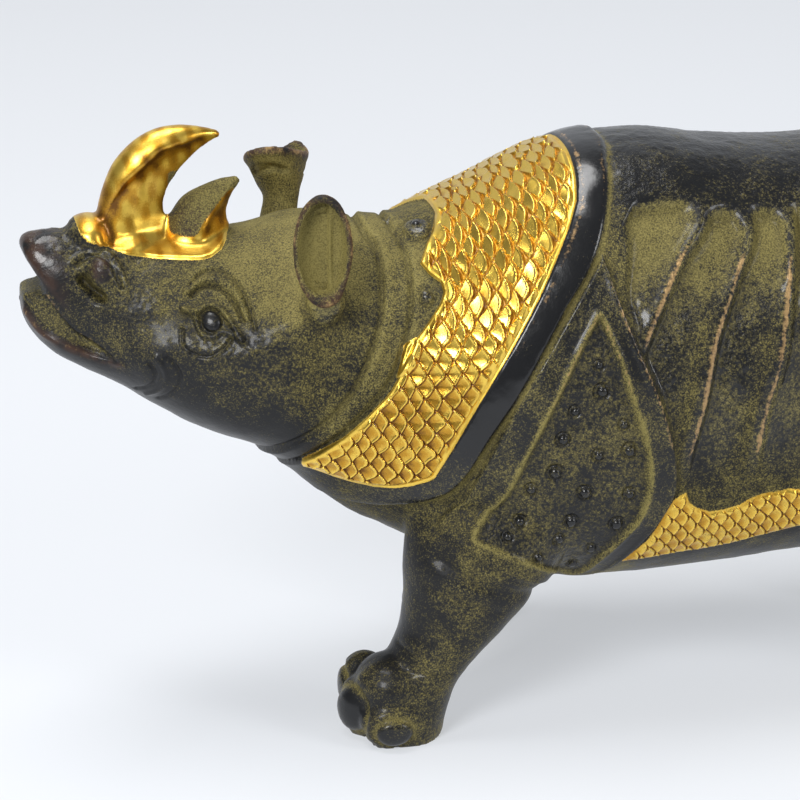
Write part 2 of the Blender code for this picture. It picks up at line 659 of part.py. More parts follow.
def carve(mesh):
    """Raises the carving on the skin, along its own normals."""
    places = points_of(mesh)
    normals = normals_of(mesh)
    rise = relief(places / PART, normals)
    return places + normals * (rise * PART)[:, None]


def shaped_lips(places):
    """Narrows the beak, and leans the gum in between the two lips."""
    x, z = places[:, 0] / PART, places[:, 2] / PART
    over_rim = -line_distance(x, z, LOWER_LIP)
    over_lip = -line_distance(x, z, UPPER_LIP)
    up_gum = np.clip(over_rim / np.maximum(over_rim - over_lip, 0.5), 0.0, 1.0) * (over_rim > 0)
    up_gum = np.where(over_lip > 0, 1.0, up_gum)
    narrow = LIP_STEP * ease(over_rim, -0.4, 1.2) + GUM_LEAN * up_gum - LIP_OUT * ease(over_lip, -0.5, 0.7)
    places[:, 1] *= 1.0 - narrow * ease(-x, *LIPS_START)
    return places


def thinned_web(places):
    """Thins the web behind the front roll of the front horn."""
    x, z = places[:, 0] / PART, places[:, 2] / PART
    places[:, 1] *= 1.0 - WEB_THIN * ease(field_depth(x, z, HORN_WEB), -0.8, 1.6)
    return places


def thinned(mesh):
    """The skin with fewer triangles, kept where the form turns most."""
    bench = bpy.data.collections.new("bench")
    bpy.context.scene.collection.children.link(bench)
    thing = add_object("skin", mesh, bench)
    thin = thing.modifiers.new("thin", "DECIMATE")
    thin.ratio = TRIANGLES / (2.0 * len(mesh.polygons))
    thin.use_collapse_triangulate = True
    result = evaluated_mesh(thing)
    bpy.data.objects.remove(thing)
    bpy.data.collections.remove(bench)
    return result


def bronze():
    material = bpy.data.materials.new("bronze")
    material.use_nodes = True
    shader = material.node_tree.nodes["Principled BSDF"]
    shader.inputs["Base Color"].default_value = BRONZE_COLOUR
    shader.inputs["Roughness"].default_value = BRONZE_ROUGHNESS
    shader.inputs["Metallic"].default_value = BRONZE_METALLIC
    return material


def main():
    clear_scene()
    parts = bpy.data.collections.new("rhinoceros")
    bpy.context.scene.collection.children.link(parts)
    mesh = fused_skin(FUSE_SIZE)
    places, ends = points_of(mesh), edges_of(mesh)
    places = thinned_web(shaped_lips(places))
    places = relax(places, ends, np.ones(len(places)), BLEND_ROUNDS)
    put_points(mesh, places)
    put_points(mesh, carve(mesh))
    mesh = thinned(mesh)
    places = points_of(mesh)
    places[:, 0] -= MIDDLE_X * PART
    places[:, 2] = np.where(places[:, 2] < SOLE_FLAT * PART, 0.0, places[:, 2])
    put_points(mesh, places)
    mesh.name = "rhinoceros"
    add_object("rhinoceros", mesh, parts)
    mesh.materials.append(bronze())
    mesh.shade_smooth()
    mesh.set_sharp_from_angle(angle=SHARP_FROM)


main()
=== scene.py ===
import math

import bmesh
import bpy
import numpy as np
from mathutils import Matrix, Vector


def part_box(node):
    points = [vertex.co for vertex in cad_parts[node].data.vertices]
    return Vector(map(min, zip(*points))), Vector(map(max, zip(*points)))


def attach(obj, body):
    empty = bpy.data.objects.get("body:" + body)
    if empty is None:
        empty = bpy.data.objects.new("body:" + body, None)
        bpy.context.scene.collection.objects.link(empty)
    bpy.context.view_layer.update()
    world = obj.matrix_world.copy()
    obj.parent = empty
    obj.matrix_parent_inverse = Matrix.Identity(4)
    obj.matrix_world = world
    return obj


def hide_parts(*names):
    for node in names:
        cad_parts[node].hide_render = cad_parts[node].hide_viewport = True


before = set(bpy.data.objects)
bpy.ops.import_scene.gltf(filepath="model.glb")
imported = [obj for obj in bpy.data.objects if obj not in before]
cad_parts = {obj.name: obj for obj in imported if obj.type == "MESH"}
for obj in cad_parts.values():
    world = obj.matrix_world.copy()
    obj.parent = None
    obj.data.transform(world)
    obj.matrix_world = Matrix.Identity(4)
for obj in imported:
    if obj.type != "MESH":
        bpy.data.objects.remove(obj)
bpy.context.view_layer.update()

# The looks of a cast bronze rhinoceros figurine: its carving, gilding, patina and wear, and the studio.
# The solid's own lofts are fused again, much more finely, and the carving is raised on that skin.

# The figure's length in design parts, and the design x of the middle of its box. Sizes below are in parts.
DESIGN_LENGTH = 372.2
MIDDLE_X = 66.65
low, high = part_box("rhinoceros")
PART = (high.x - low.x) / DESIGN_LENGTH

# Mesh fineness. The scales, the near side of the face, the near ear and the rivets are cut twice as fine.
FUSE_SIZE = 0.82 * PART
SOLID_FUSE = 1.5 * PART
BLEND_ROUNDS = 10
CREST_ROUNDS = 10
CUT_RELAX = 0.8
SOLE_FLAT = 0.6

# The solid's forms. A ring of the body has x and z of its top and of its bottom, half width and taper.
BODY_RINGS = (
    (-119, 157, -119.5, 139, 5, 0),
    (-117.5, 159, -119, 133.5, 10, 0),
    (-112, 160, -115.5, 127, 15, 0.05),
    (-105, 159.5, -110, 121.5, 18.5, 0.08),
    (-97, 157.5, -101.5, 116.5, 20.5, 0.1),
    (-87, 156, -92, 111.5, 23, 0.14),
    (-76, 156, -81.5, 104.5, 27, 0.16),
    (-65, 156.5, -71.5, 98.5, 31.5, 0.16),
    (-54, 156.5, -62, 94, 35.5, 0.14),
    (-44, 157.5, -53, 90.5, 38, 0.12),
    (-33, 160, -46, 87, 39.5, 0.1),
    (-22, 159, -40, 82, 39, 0.08),
    (-12, 156.5, -31.5, 73.5, 40, 0.06),
    (0, 156.5, -21, 65, 43, 0.06),
    (12, 160.5, -8, 58, 47, 0.06),
    (26, 166.5, 7, 50, 51, 0.08),
    (42, 174, 26, 42, 55, 0.1),
    (60, 179.5, 50, 37.5, 57.5, 0.1),
    (80, 180.5, 75, 37, 57.5, 0.1),
    (100, 177.5, 100, 38, 57, 0.08),
    (125, 175.5, 125, 40, 57.5, 0.06),
    (150, 176.5, 150, 42, 58, 0.06),
    (175, 178, 175, 45, 57.5, 0.08),
    (198, 176, 196, 50, 54, 0.1),
    (217, 169, 214, 60, 47, 0.1),
    (231, 157, 228, 74, 37, 0.08),
    (240, 143, 238, 92, 24, 0),
    (243, 128, 243, 108, 9, 0),
)
BODY_SQUARENESS = 2.25
MOUTH_CORNER = (-111, 142)
MOUTH_TOP_OUT = (-122.5, 161)
MOUTH_BOTTOM_OUT = (-126, 143)
UPPER_LIP = (
    (-124, 158), (-116, 147.5), (-110.5, 140), (-106.6, 134.5), (-104.1, 131.8), (-100.4, 129.4),
    (-96.2, 126.5), (-92.7, 124), (-90, 121),
)
LOWER_LIP = (
    (-126, 139.5), (-119.4, 136), (-115.5, 130.5), (-109.7, 127.2), (-102.2, 123.8), (-97, 122.3),
    (-90, 121),
)
LIP_STEP = 0.10
GUM_LEAN = 0.18
LIP_OUT = 0.09
LIPS_START = (88, 103)
FRONT_HORN = (
    (-84, 146, 15, 13),
    (-84.5, 157, 12, 10.5),
    (-84.5, 166, 10.2, 8.5),
    (-81.5, 175, 9.4, 7.4),
    (-75.5, 181.5, 8.4, 6.6),
    (-68.5, 185.2, 6, 5.2),
    (-61.5, 187, 3.2, 3.4),
    (-56, 187.3, 1, 1.2),
)
REAR_HORN = (
    (-64.5, 148, 13, 11.5),
    (-64, 156, 11, 9.6),
    (-62.3, 162.3, 8.8, 7.4),
    (-58.5, 167.3, 5.6, 4.9),
    (-54.5, 170.8, 3, 2.8),
    (-51, 172.6, 0.9, 0.9),
)
EDGE_PINCH = 0.62
HORN_WEB = (
    (-60, 187.5), (-66.7, 184.9), (-74.9, 183.3), (-80.3, 178.8), (-86, 174), (-89.5, 170),
    (-92.2, 165), (-92.7, 159.5), (-90.5, 156), (-72, 158), (-71, 170), (-66, 176), (-58, 180),
    (-52, 184),
)
WEB_THIN = 0.42
NOSE_FOLD = ((-98.5, 0, 157.5), (6.5, 12.5, 7))
NEAR_EAR = ((-31, -29, 142), (-33, -44.5, 162), (-0.22, -1, 0.1), (0, 0, 1), 0)
FAR_EAR = ((-35, 29, 142), (-32.5, 38, 168.2), (-0.04, 0.45, 0.89), (0.54, 0.74, -0.35), 7)
EAR_STEM_RADIUS = 6.3
EAR_SLIM = 0.88
EAR_HALF_WIDTH = 8.6
EAR_HALF_LENGTH = 16.5
EAR_FLARE = 14.0
EAR_HOLLOW = 4.4
EAR_RIM = 1.6
EAR_STEM_END = 2.0
# Rings of a leg: height, front and back, how far from the middle plane, and half width.
FORE_LEG = (
    (92, 4, 56, 27, 14),
    (72, -4, 55, 34, 18.5),
    (58, -6.5, 45.5, 37, 19),
    (46, -7, 36, 38, 17.5),
    (35, -8.5, 26.5, 38.5, 15.5),
    (26, -12, 17, 39, 14.5),
    (17, -17.5, 10, 39, 15),
    (8, -20.5, 6.5, 39, 16),
    (0, -19, 5, 39, 15.5),
)
HIND_LEG = (
    (98, 166, 220, 27, 15),
    (78, 162, 223, 34, 19),
    (60, 168, 216, 38, 19.5),
    (46, 176, 213, 39, 17.5),
    (35, 182, 212, 39.5, 15.5),
    (26, 182, 211, 40, 14.5),
    (17, 179, 209, 40, 15),
    (8, 176, 208, 40, 16),
    (0, 176.5, 206, 40, 15.5),
)
FAR_FORE_BACK = 38.0
FAR_HIND_FORWARD = 11.0
TOES = (
    ((-1, 0, 9), (8.5, 8.6, 10.5)),
    ((6, 10.5, 7), (10, 8, 8.5)),
    ((1.5, -11, 11.5), (8.5, 7.6, 11)),
    ((7, 3, 17), (11.5, 12.5, 10)),
)
TAIL = (
    (234, 152, 6.5),
    (243, 146, 5.6),
    (248, 132, 4.8),
    (248.5, 116, 4.2),
    (247, 102, 4.6),
    (245.5, 92, 5.6),
    (244.5, 84, 3.6),
    (244, 80, 1.2),
)

# Carving, drawn on the side of the figure as x and z, and the same on both sides.
COLLAR_FOLDS = (
    ((-14.5, 170), (-13.5, 157), (-11, 153), (-11.5, 143.5), (-14.5, 132), (-22, 116), (-31.5, 104),
     (-47.5, 91), (-56, 82)),
    ((-5.5, 170), (-4.5, 156.5), (-3, 154), (-2.5, 147), (-4, 137), (-8, 125.5), (-13.5, 115.5),
     (-26, 101.5), (-37, 91), (-46, 80)),
)
MANTLE = (
    (12, 175), (10.5, 161), (8.5, 158), (1, 149), (6, 145), (5, 140), (-2.5, 131), (-9.5, 119),
    (-14, 112.5), (-26, 100.5), (-37, 91), (-32.5, 87.5), (-21.5, 84), (-10.5, 83.5), (0, 87),
    (2.5, 90.5), (10.5, 105.5), (18, 118), (31, 138), (42, 155.5), (49, 167), (51.5, 175.5),
    (52.5, 181), (53, 190),
)
STRAP_BACK = (
    (64.5, 192), (64, 181), (61.5, 177), (58.5, 169), (54, 158), (48.5, 149), (41, 139), (33, 126),
    (25.5, 113.5), (17, 100.5), (9.5, 87), (3, 80.5), (-8.5, 76.5), (-25, 74), (-44, 74),
)
PLATE_OUT = (
    (54, 154.5), (48, 146.5), (39, 133.5), (26, 113), (17, 95.5), (10, 80), (2.5, 70.5), (13.5, 62),
    (26.5, 54), (40, 48), (52, 46), (61, 54.5), (69.5, 68), (74.5, 79), (75, 87.5), (73, 99),
    (68.5, 113.5), (61.5, 130.5), (57.5, 142),
)
PLATE_IN = (
    (51, 138), (44, 126.5), (36.5, 112), (28, 95), (22.5, 82.5), (13, 69.5), (15.5, 66.5), (25, 62),
    (34.5, 57), (48, 49.5), (54.5, 59), (63, 71.5), (66, 82.5), (65, 96), (61, 109), (56.5, 124),
)
RIDGES = (
    ((58, 171), (60.5, 160), (60, 152), (59, 142), (63, 130.5), (69, 114), (72, 104)),
    ((92, 172), (87.5, 165), (86, 160.5), (79, 153), (72, 141.5), (67, 132), (62, 120)),
    ((100, 172), (101, 162.5), (101.5, 157), (95.5, 145.5), (88, 128), (84, 109), (80, 94), (77, 78)),
    ((112, 172), (114.5, 162.5), (115, 158.5), (113, 147), (110.5, 133.5), (108, 118.5), (103.5, 103.5),
     (99, 74)),
)
FLUTE_TOPS = (168.5, 165.5, 165, 165)
FLUTE_FIELD = (
    (58.5, 150), (60, 161), (68, 170), (83.5, 171), (121, 168), (121, 76), (115.5, 76.5), (106, 77),
    (99, 75), (89, 73), (80.5, 75), (76.5, 81), (73.5, 99), (69, 113.5), (62, 130.5), (57.5, 142),
)
BELLY_STRIP = (
    (61.5, 52.5), (68, 62), (71.5, 70), (74.5, 77.5), (79, 80), (80.5, 76), (87.5, 72), (97, 73.5),
    (104, 77), (121, 76.5), (121, 62), (118.5, 62), (96.5, 56.5), (78, 54.5),
)
MIRROR_X = 121.0
HIP_APEX_X = 186.0
HIP_NARROW = 0.75
PLATE_APEX_X = 54.0

EYE = (-64.6, 136.9)
EYE_RADIUS = 3.0
NOSTRIL_LUMP = (-95.7, 149.7)
NOSTRIL_SLOT = ((-101.3, 147.9), (-99.4, 145.3), (-97, 143.2))
CHEEK_RIDGE = ((-82, 124.5), (-73, 127.8), (-64, 127), (-55, 127.5), (-41, 134.4), (-30.5, 142))
HORN_GILT = (
    (-45, 200), (-112, 200), (-104, 172), (-101.5, 160), (-97, 157), (-89.8, 154.3), (-84, 153),
    (-78.5, 152.3), (-68.6, 151.9), (-62, 152.6), (-56.1, 155.8), (-53.5, 160), (-48, 172),
)
# Rivets of the plate, as x, z and radius.
RIVETS = (
    (50.2, 123.3, 1.3), (50.9, 115.3, 1.9), (42.6, 109.3, 1.4), (57.7, 104.5, 1.4), (38.9, 100.6, 1.7),
    (49.8, 95, 1.5), (59.5, 96, 1.9), (36.7, 89.8, 1.9), (29.6, 84.1, 1.6), (46.3, 82.5, 1.9),
    (60.3, 81.2, 1.6), (26.6, 72.8, 1.6), (42.8, 72, 1.8), (57.3, 70.2, 1.9), (22.4, 68.7, 1.4),
    (39.5, 65.6, 1.5), (50.8, 60.7, 1.5), (32.3, 61.1, 1.4), (46.5, 53.5, 1.4),
)
# Lines cut (below 0) or raised (above 0) on the face: height, half width, then x and z along the line.
FACE_LINES = (
    (1.9, 1.2, ((-72.3, 139.9), (-68.3, 139.7), (-65.6, 141.1), (-62.4, 140.7), (-59.8, 138.1),
     (-57.8, 134.9), (-55.9, 131.8))),
    (1.6, 1, ((-72.3, 139.9), (-69.3, 138.3), (-68.7, 135.5), (-67.2, 133.1), (-64.3, 132.6),
     (-61.2, 134.1), (-55.9, 131.8))),
    (-1.2, 0.9, ((-69.8, 143.6), (-67.6, 145.4), (-64.6, 146.2), (-60.6, 145.2), (-57.5, 142),
     (-55.5, 137.1))),
    (0.9, 1.2, ((-71.5, 144.6), (-67, 147.2), (-63.6, 147.8), (-59.2, 147), (-56.2, 143.8),
     (-54.2, 138))),
    (-0.9, 0.8, ((-70, 146.1), (-66.6, 148.9), (-62.8, 149.9), (-58.2, 149), (-54.7, 145.5),
     (-52.6, 138.8), (-51.9, 134.7))),
    (-0.9, 0.8, ((-73.2, 134.4), (-73.1, 129.8), (-70.1, 127.6), (-65.8, 126.9), (-61.7, 129),
     (-59.2, 132.2))),
    (-0.7, 0.9, ((-83.2, 124.6), (-81.2, 121.5), (-81.8, 117.8), (-84, 115.1), (-86.8, 113.1))),
    (0.6, 1.2, ((-81, 126), (-78.6, 122.5), (-78.4, 118.5), (-80.4, 114.5), (-83.8, 111.5))),
    (-0.7, 0.9, ((-77.9, 126.5), (-75.7, 124.5), (-74.3, 120.7), (-74.9, 117), (-77.4, 113.2),
     (-80.5, 110.5))),
    (-1, 0.8, ((-103.5, 151.5), (-100.9, 153), (-98.5, 153.6), (-94.9, 152.8), (-91.9, 149.8),
     (-90.4, 145.6))),
    (0.7, 0.9, ((-104.5, 153), (-100.7, 154.8), (-97.4, 155.2), (-93.6, 154), (-90.3, 150.6),
     (-88.6, 145.5))),
)
# The same for the fore leg's folds: across the body, over the ankle and between the toes.
LEG_LINES = (
    (-1.2, 2.2, ((2, 61.2), (10.4, 55.7), (26.9, 48.4), (40, 45))),
    (-0.6, 1.6, ((-1, 52), (9, 48.5), (20, 43))),
    (-0.5, 0.7, ((-7.5, 24), (-2, 24.2), (5, 23.2))),
    (-0.4, 0.6, ((-5, 18.6), (1.5, 18.8))),
    (-0.5, 0.8, ((-16.5, 32), (-11, 31), (-7, 29.5))),
    (1, 2.6, ((-16, 31), (-20.5, 26), (-25, 20))),
)
# Nails, as places and half sizes on the near fore foot. The other feet have the same, moved with them.
NAILS = (
    ((-26, -44.5, 9.5), (5.5, 7.5, 7.2)),
    ((-13.5, -57.5, 5.6), (6, 4.5, 4.6)),
    ((-26, -27, 11), (5, 6, 6)),
)
# Round bosses in the round: place, half sizes and how far they stand out.
BOSSES = (
    ((3.1, -12, 155.6), (4.6, 5.6, 4.4), 2),
    ((3.1, -12, 157), (1.7, 2, 3.4), 0.9),
    ((-30.5, -38, 141), (6.2, 9, 6), 3.4),
    ((-30.5, 38, 141), (6.2, 9, 6), 2),
    ((-4.6, -1.5, 156.6), (1.5, 1.5, 3), 0.9),
    ((0.9, -35.5, 141.7), (2.3, 3.5, 2.3), 1.7),
    ((0.9, 35.5, 141.7), (2.3, 3.5, 2.3), 1.7),
)
# The crease between the roll and the web of the front horn, and the ridge up the side of the rear horn.
HORN_CREASE = (
    (-62, 186.3), (-66.7, 184.9), (-74.9, 183.3), (-80.3, 178.8), (-86, 174), (-89.5, 170),
    (-92.2, 165), (-92.7, 159.5), (-91, 155.9),
)
REAR_HORN_RIDGE = ((-51.8, 172.4), (-57.5, 167), (-62.7, 161.8), (-65.5, 157))
# The small flap that is folded over below the ragged front edge of the mantle.
MANTLE_FLAP = ((-7, 128.8), (-3.3, 130.7), (-1.7, 129.4), (-4.8, 122.1), (-10, 119))

# How far the carving stands out, and how wide it is.
COLLAR_RISE = 1.5
COLLAR_TAPER = 5.0
MANTLE_RISE = 0.9
STRAP_RISE = 1.6
STRAP_WIDTH = 12.0
PLATE_BORDER_RISE = 2.0
PLATE_FIELD_RISE = 0.5
PLATE_LIP_RISE = 0.8
PLATE_EDGE_RISE = 0.7
FLUTE_DEPTH = 3.7
RIDGE_WIDTHS = (2.2, 0.5)
CHEEK_RISE = 2.2
CHEEK_WIDTH = 7.0
LUMP_RISE = 4.0
LUMP_WIDTH = 4.9
SLOT_DEPTH = 4.4
SLOT_WIDTH = 1.7
STRIP_RISE = 0.6
EYE_RISE = 2.3
FACE_LINE_WIDTH = 0.68
LINE_MARGIN = 6.0
PAD_RISE = 0.35
# Lumps of the wax: size, seed and height. Stipples: the same, and how much higher they are on pitted skin.
WAX_LUMPS = ((9.0, 1, 0.22), (4.0, 2, 0.10))
STIPPLES = ((1.9, 3, 0.03, 0.16), (1.1, 5, 0.01, 0.09))

# Where a leg's carving ends above and inside, and what parts fore from hind legs.
LEG_TOP = 66.0
LEG_INSIDE = 12.0
LEGS_APART_X = 100.0

# Where a form or a finish comes in or fades: spans of height, of x, or of the way ahead, which is -x.
BACK_HEIGHT = (148, 170)
BACK_FRONT_X = (56, 66)
FLUTES_FOOT = (78, 100)
FLUTES_CORNER = (55.0, 70.0)
STRIP_BAND = (46.0, 88.0)
BELLY_FRONT_X = (60, 80)
PLATE_X = (-2.0, 79.0)
PLATE_HEIGHT = (42.0, 158.0)
NECK_FRONT_X = (-62, -56)
STRAP_FRONT_X = (-30, 0)
BROW_HEIGHT = (136, 146)
BROW_AHEAD = (5, 20)
BROW_FRONT_X = (-92, -72)
JAW_SLOPE = 0.62
JAW_HEIGHT = (76, 92)
JAW_AHEAD = (24, 44)
CHEEK_AHEAD = (36, 50)
THROAT_AHEAD = (20, 40)
SNOUT_AHEAD = (88, 104)
MOUTH_AHEAD = (89, 93)
BEAK_AHEAD = (104, 114)
HORN_PAD_TOP = (160, 164)
LEG_FADE = (50, 75)

# Where the skin is parted into pieces.
GILT_MARGIN = 1.5
STRIP_INSIDE = 30.0
STUD_REACH = 3.4
HEAD_END_X = -22.0
HEAD_LOW_Z = 80.0
SHOULDERS_END_X = 58.0
HINDQUARTERS_X = 165.0

# Scales: how high a tip stands, and the girth that the pattern is unrolled with.
SCALE_RISE = 1.2
STRIP_SCALE_RISE = 0.9
STRIP_GILT = 0.62
PLAIN_TIPS = 4.0
GIRTH_RADIUS = 52.0
GIRTH_MIDDLE = 108.0

# Where the photo's camera stood: pan and tilt, the distance, and the size of a photo pixel on the figure.
CAMERA_PAN = math.radians(-12.0)
CAMERA_TILT = math.radians(20.0)
CAMERA_AWAY = 1000.0
PHOTO_PIXEL = 0.32
PHOTO_PIXELS = 800
CAMERA_AIM_Z = 96.16
SENSOR = 36.0

# What the carving tells the finish about each place, painted shade and painted highlights included. The last
# three are a scale's place and its tip's shape.
MASKS = (
    "gilt", "olive", "wear", "warm", "rub", "gloss", "pits", "crest", "scales", "scale_p", "scale_q", "tips",
)
CLIPPED_MASKS = ("wear", "warm", "gloss", "pits")
BARE_OLIVE = 0.50


def smooth_rows(rows, steps):
    """Rows of numbers that a Catmull-Rom curve takes through the given rows, so many steps to each gap."""
    table = np.array(rows, float)
    padded = np.vstack([2 * table[0] - table[1], table, 2 * table[-1] - table[-2]])
    out = []
    for a, b, c, d in zip(padded, padded[1:], padded[2:], padded[3:]):
        for share in np.arange(steps) / steps:
            bent = 2 * b + (c - a) * share + (2 * a - 5 * b + 4 * c - d) * share**2
            out.append(0.5 * (bent + (3 * b - a - 3 * c + d) * share**3))
    out.append(table[-1])
    return np.array(out)


def turns(count):
    """Evenly spaced angles once round a ring."""
    return np.linspace(0.0, 2 * math.pi, count, endpoint=False)


def neighbours(rows, i):
    """The rows after and before a row, or the row itself at an end."""
    return rows[min(i + 1, len(rows) - 1)], rows[max(i - 1, 0)]


def mesh_of(form, name):
    mesh = bpy.data.meshes.new(name)
    form.to_mesh(mesh)
    form.free()
    return mesh


def loft(name, rings):
    """A closed mesh through rings of equal length, in parts, with a flat cap on each end."""
    form = bmesh.new()
    loops = [[form.verts.new(Vector(p) * PART) for p in ring] for ring in rings]
    count = len(loops[0])
    for near, far in zip(loops, loops[1:]):
        for i in range(count):
            j = (i + 1) % count
            form.faces.new((near[i], near[j], far[j], far[i]))
    form.faces.new(reversed(loops[0]))
    form.faces.new(loops[-1])
    bmesh.ops.triangulate(form, faces=[f for f in form.faces if len(f.verts) > 4])
    bmesh.ops.recalc_face_normals(form, faces=form.faces)
    return mesh_of(form, name)


def body_form():
    """Rings that each stand on the line from their top to their bottom point."""
    rings = []
    power = 2.0 / BODY_SQUARENESS
    for top_x, top_z, low_x, low_z, half, pear in smooth_rows(BODY_RINGS, 5):
        ring = []
        for turn in turns(128):
            rise, side = math.cos(turn), math.sin(turn)
            rise = math.copysign(abs(rise) ** power, rise)
            side = math.copysign(abs(side) ** power, side) * (1.0 - pear * rise)
            share = (1.0 - rise) / 2
            ring.append((top_x + (low_x - top_x) * share, half * side, top_z + (low_z - top_z) * share))
        rings.append(ring)
    return loft("body", rings)


def horn_form(name, stations):
    """A curved horn in the middle plane, round in front and pinched to an edge behind."""
    rows = smooth_rows(stations, 8)
    rings = []
    for i, (x, z, depth, half) in enumerate(rows):
        ahead, behind = neighbours(rows, i)
        along = ahead[:2] - behind[:2]
        along /= np.linalg.norm(along)
        back = (along[1], -along[0])
        ring = []
        for turn in turns(64):
            reach, side = math.cos(turn), math.sin(turn)
            narrow = 1.0 - EDGE_PINCH * max(reach, 0.0) ** 0.8
            ring.append((x + back[0] * depth * reach, half * side * narrow, z + back[1] * depth * reach))
        rings.append(ring)
    return loft(name, rings)


def tube_form(name, points, radii, sides=40):
    """A round tube through points, each with its own radius."""
    rows = smooth_rows([(*p, r) for p, r in zip(points, radii)], 6)
    rings = []
    for i, row in enumerate(rows):
        ahead, behind = neighbours(rows, i)
        along = Vector(ahead[:3] - behind[:3]).normalized()
        across = along.cross(Vector((0.0, 1.0, 0.0)))
        if across.length < 0.3:
            across = along.cross(Vector((1.0, 0.0, 0.0)))
        across.normalize()
        other = along.cross(across)
        ring = []
        for turn in turns(sides):
            ring.append(Vector(row[:3]) + (across * math.cos(turn) + other * math.sin(turn)) * row[3])
        rings.append(ring)
    return loft(name, rings)


def ear_form(name, centre, facing, long_way, curl):
    """The flare and the oval dish of an ear, hollowed on the face that it turns to the world."""
    facing = Vector(facing).normalized()
    along = Vector(long_way)
    along = (along - facing * facing.dot(along)).normalized()
    across = facing.cross(along)
    slim = EAR_STEM_RADIUS * EAR_SLIM
    # Up the flare, round the rim and in to the middle of the hollow: half width, half length, height.
    profile = (
        (slim, slim, -EAR_FLARE),
        (slim * 1.1, slim * 1.3, -EAR_FLARE * 0.8),
        (slim * 1.35, EAR_HALF_LENGTH * 0.62, -EAR_FLARE * 0.54),
        (EAR_HALF_WIDTH * 0.92, EAR_HALF_LENGTH * 0.9, -EAR_FLARE * 0.23),
        (EAR_HALF_WIDTH, EAR_HALF_LENGTH, -0.6),
        (EAR_HALF_WIDTH * 0.95, EAR_HALF_LENGTH * 0.97, 1.0),
        (EAR_HALF_WIDTH - EAR_RIM, EAR_HALF_LENGTH - EAR_RIM, 0.6),
        (EAR_HALF_WIDTH - EAR_RIM * 1.8, EAR_HALF_LENGTH - EAR_RIM * 1.8, -EAR_HOLLOW * 0.4),
        (EAR_HALF_WIDTH * 0.5, EAR_HALF_LENGTH * 0.6, -EAR_HOLLOW * 0.85),
        (0.2, 0.4, -EAR_HOLLOW),
    )
    rings = []
    for half_width, half_length, height in smooth_rows(profile, 5):
        ring = []
        for turn in turns(80):
            flat = across * (half_width * math.cos(turn)) + along * (half_length * math.sin(turn))
            tip = max(half_length * math.sin(turn) / EAR_HALF_LENGTH, 0.0)
            ring.append(Vector(centre) + flat + facing * (height + curl * tip**3))
        rings.append(ring)
    return loft(name, rings)


def leg_form(name, stations, side, shift):
    """A leg of level rings, standing on the floor."""
    rings = []
    for z, front, back, y, half in smooth_rows(stations, 5):
        ring = []
        for turn in turns(80):
            x = (front + back) / 2 + (back - front) / 2 * math.cos(turn) + shift
            ring.append((x, side * y + half * math.sin(turn), z))
        rings.append(ring)
    return loft(name, rings)


def egg_form(name, middle, half):
    """An egg shape, for toes, cut off by the floor."""
    form = bmesh.new()
    bmesh.ops.create_uvsphere(form, u_segments=48, v_segments=32, radius=1.0)
    for vert in form.verts:
        place = Vector([m + h * c for m, h, c in zip(middle, half, vert.co)])
        place.z = max(place.z, 0.0)
        vert.co = place * PART
    return mesh_of(form, name)


def foot_forms(name, stations, side, shift):
    """The toes round the front of the foot that the last ring of a leg gives."""
    _, front, _, y, _ = stations[-1]
    for i, (place, half) in enumerate(TOES):
        middle = (front + shift + place[0], side * (y + place[1]), place[2])
        yield egg_form(f"{name}_toe_{i}", middle, half)


def added_forms():
    """Everything that is fused with the body."""
    yield horn_form("front_horn", FRONT_HORN)
    yield horn_form("rear_horn", REAR_HORN)
    yield egg_form("nose_fold", *NOSE_FOLD)
    yield tube_form("tail", [(x, 0.0, z) for x, z, _ in TAIL], [r for _, _, r in TAIL])
    radii = (EAR_STEM_RADIUS, EAR_STEM_RADIUS * 0.95, EAR_STEM_RADIUS * EAR_SLIM)
    for root, centre, facing, long_way, curl in (NEAR_EAR, FAR_EAR):
        heel = Vector(centre) - Vector(facing).normalized() * (EAR_FLARE - EAR_STEM_END)
        bend = (Vector(root) + heel) / 2
        yield tube_form("ear_stem", (root, bend, heel), radii)
        yield ear_form("ear", centre, facing, long_way, curl)
    for side in (-1, 1):
        fore = FAR_FORE_BACK if side > 0 else 0.0
        hind = -FAR_HIND_FORWARD if side > 0 else 0.0
        for stations, shift in ((FORE_LEG, fore), (HIND_LEG, hind)):
            yield leg_form("leg", stations, side, shift)
            yield from foot_forms("leg", stations, side, shift)


def add_object(name, mesh):
    thing = bpy.data.objects.new(name, mesh)
    bpy.context.scene.collection.objects.link(thing)
    return thing


def drop(thing):
    mesh = thing.data
    bpy.data.objects.remove(thing)
    bpy.data.meshes.remove(mesh)


def evaluated_mesh(thing):
    graph = bpy.context.evaluated_depsgraph_get()
    return bpy.data.meshes.new_from_object(thing.evaluated_get(graph))


def cut_body():
    """The body with the wedge of the mouth cut across its beak."""
    profile = (MOUTH_CORNER, MOUTH_TOP_OUT, MOUTH_BOTTOM_OUT)
    rings = [[(x, y, z) for x, z in profile] for y in (-40.0, 40.0)]
    body = add_object("body", body_form())
    cutter = add_object("mouth_cutter", loft("mouth", rings))
    cut = body.modifiers.new("mouth", "BOOLEAN")
    cut.operation = "DIFFERENCE"
    cut.object = cutter
    mesh = evaluated_mesh(body)
    drop(body)
    drop(cutter)
    return mesh


def fused_skin():
    """All the forms as one closed mesh, fused by a voxel remesh."""
    whole = bmesh.new()
    for mesh in (cut_body(), *added_forms()):
        whole.from_mesh(mesh)
        bpy.data.meshes.remove(mesh)
    thing = add_object("fused", mesh_of(whole, "joined"))
    fuse = thing.modifiers.new("fuse", "REMESH")
    fuse.mode = "VOXEL"
    fuse.voxel_size = FUSE_SIZE
    mesh = evaluated_mesh(thing)
    drop(thing)
    return mesh


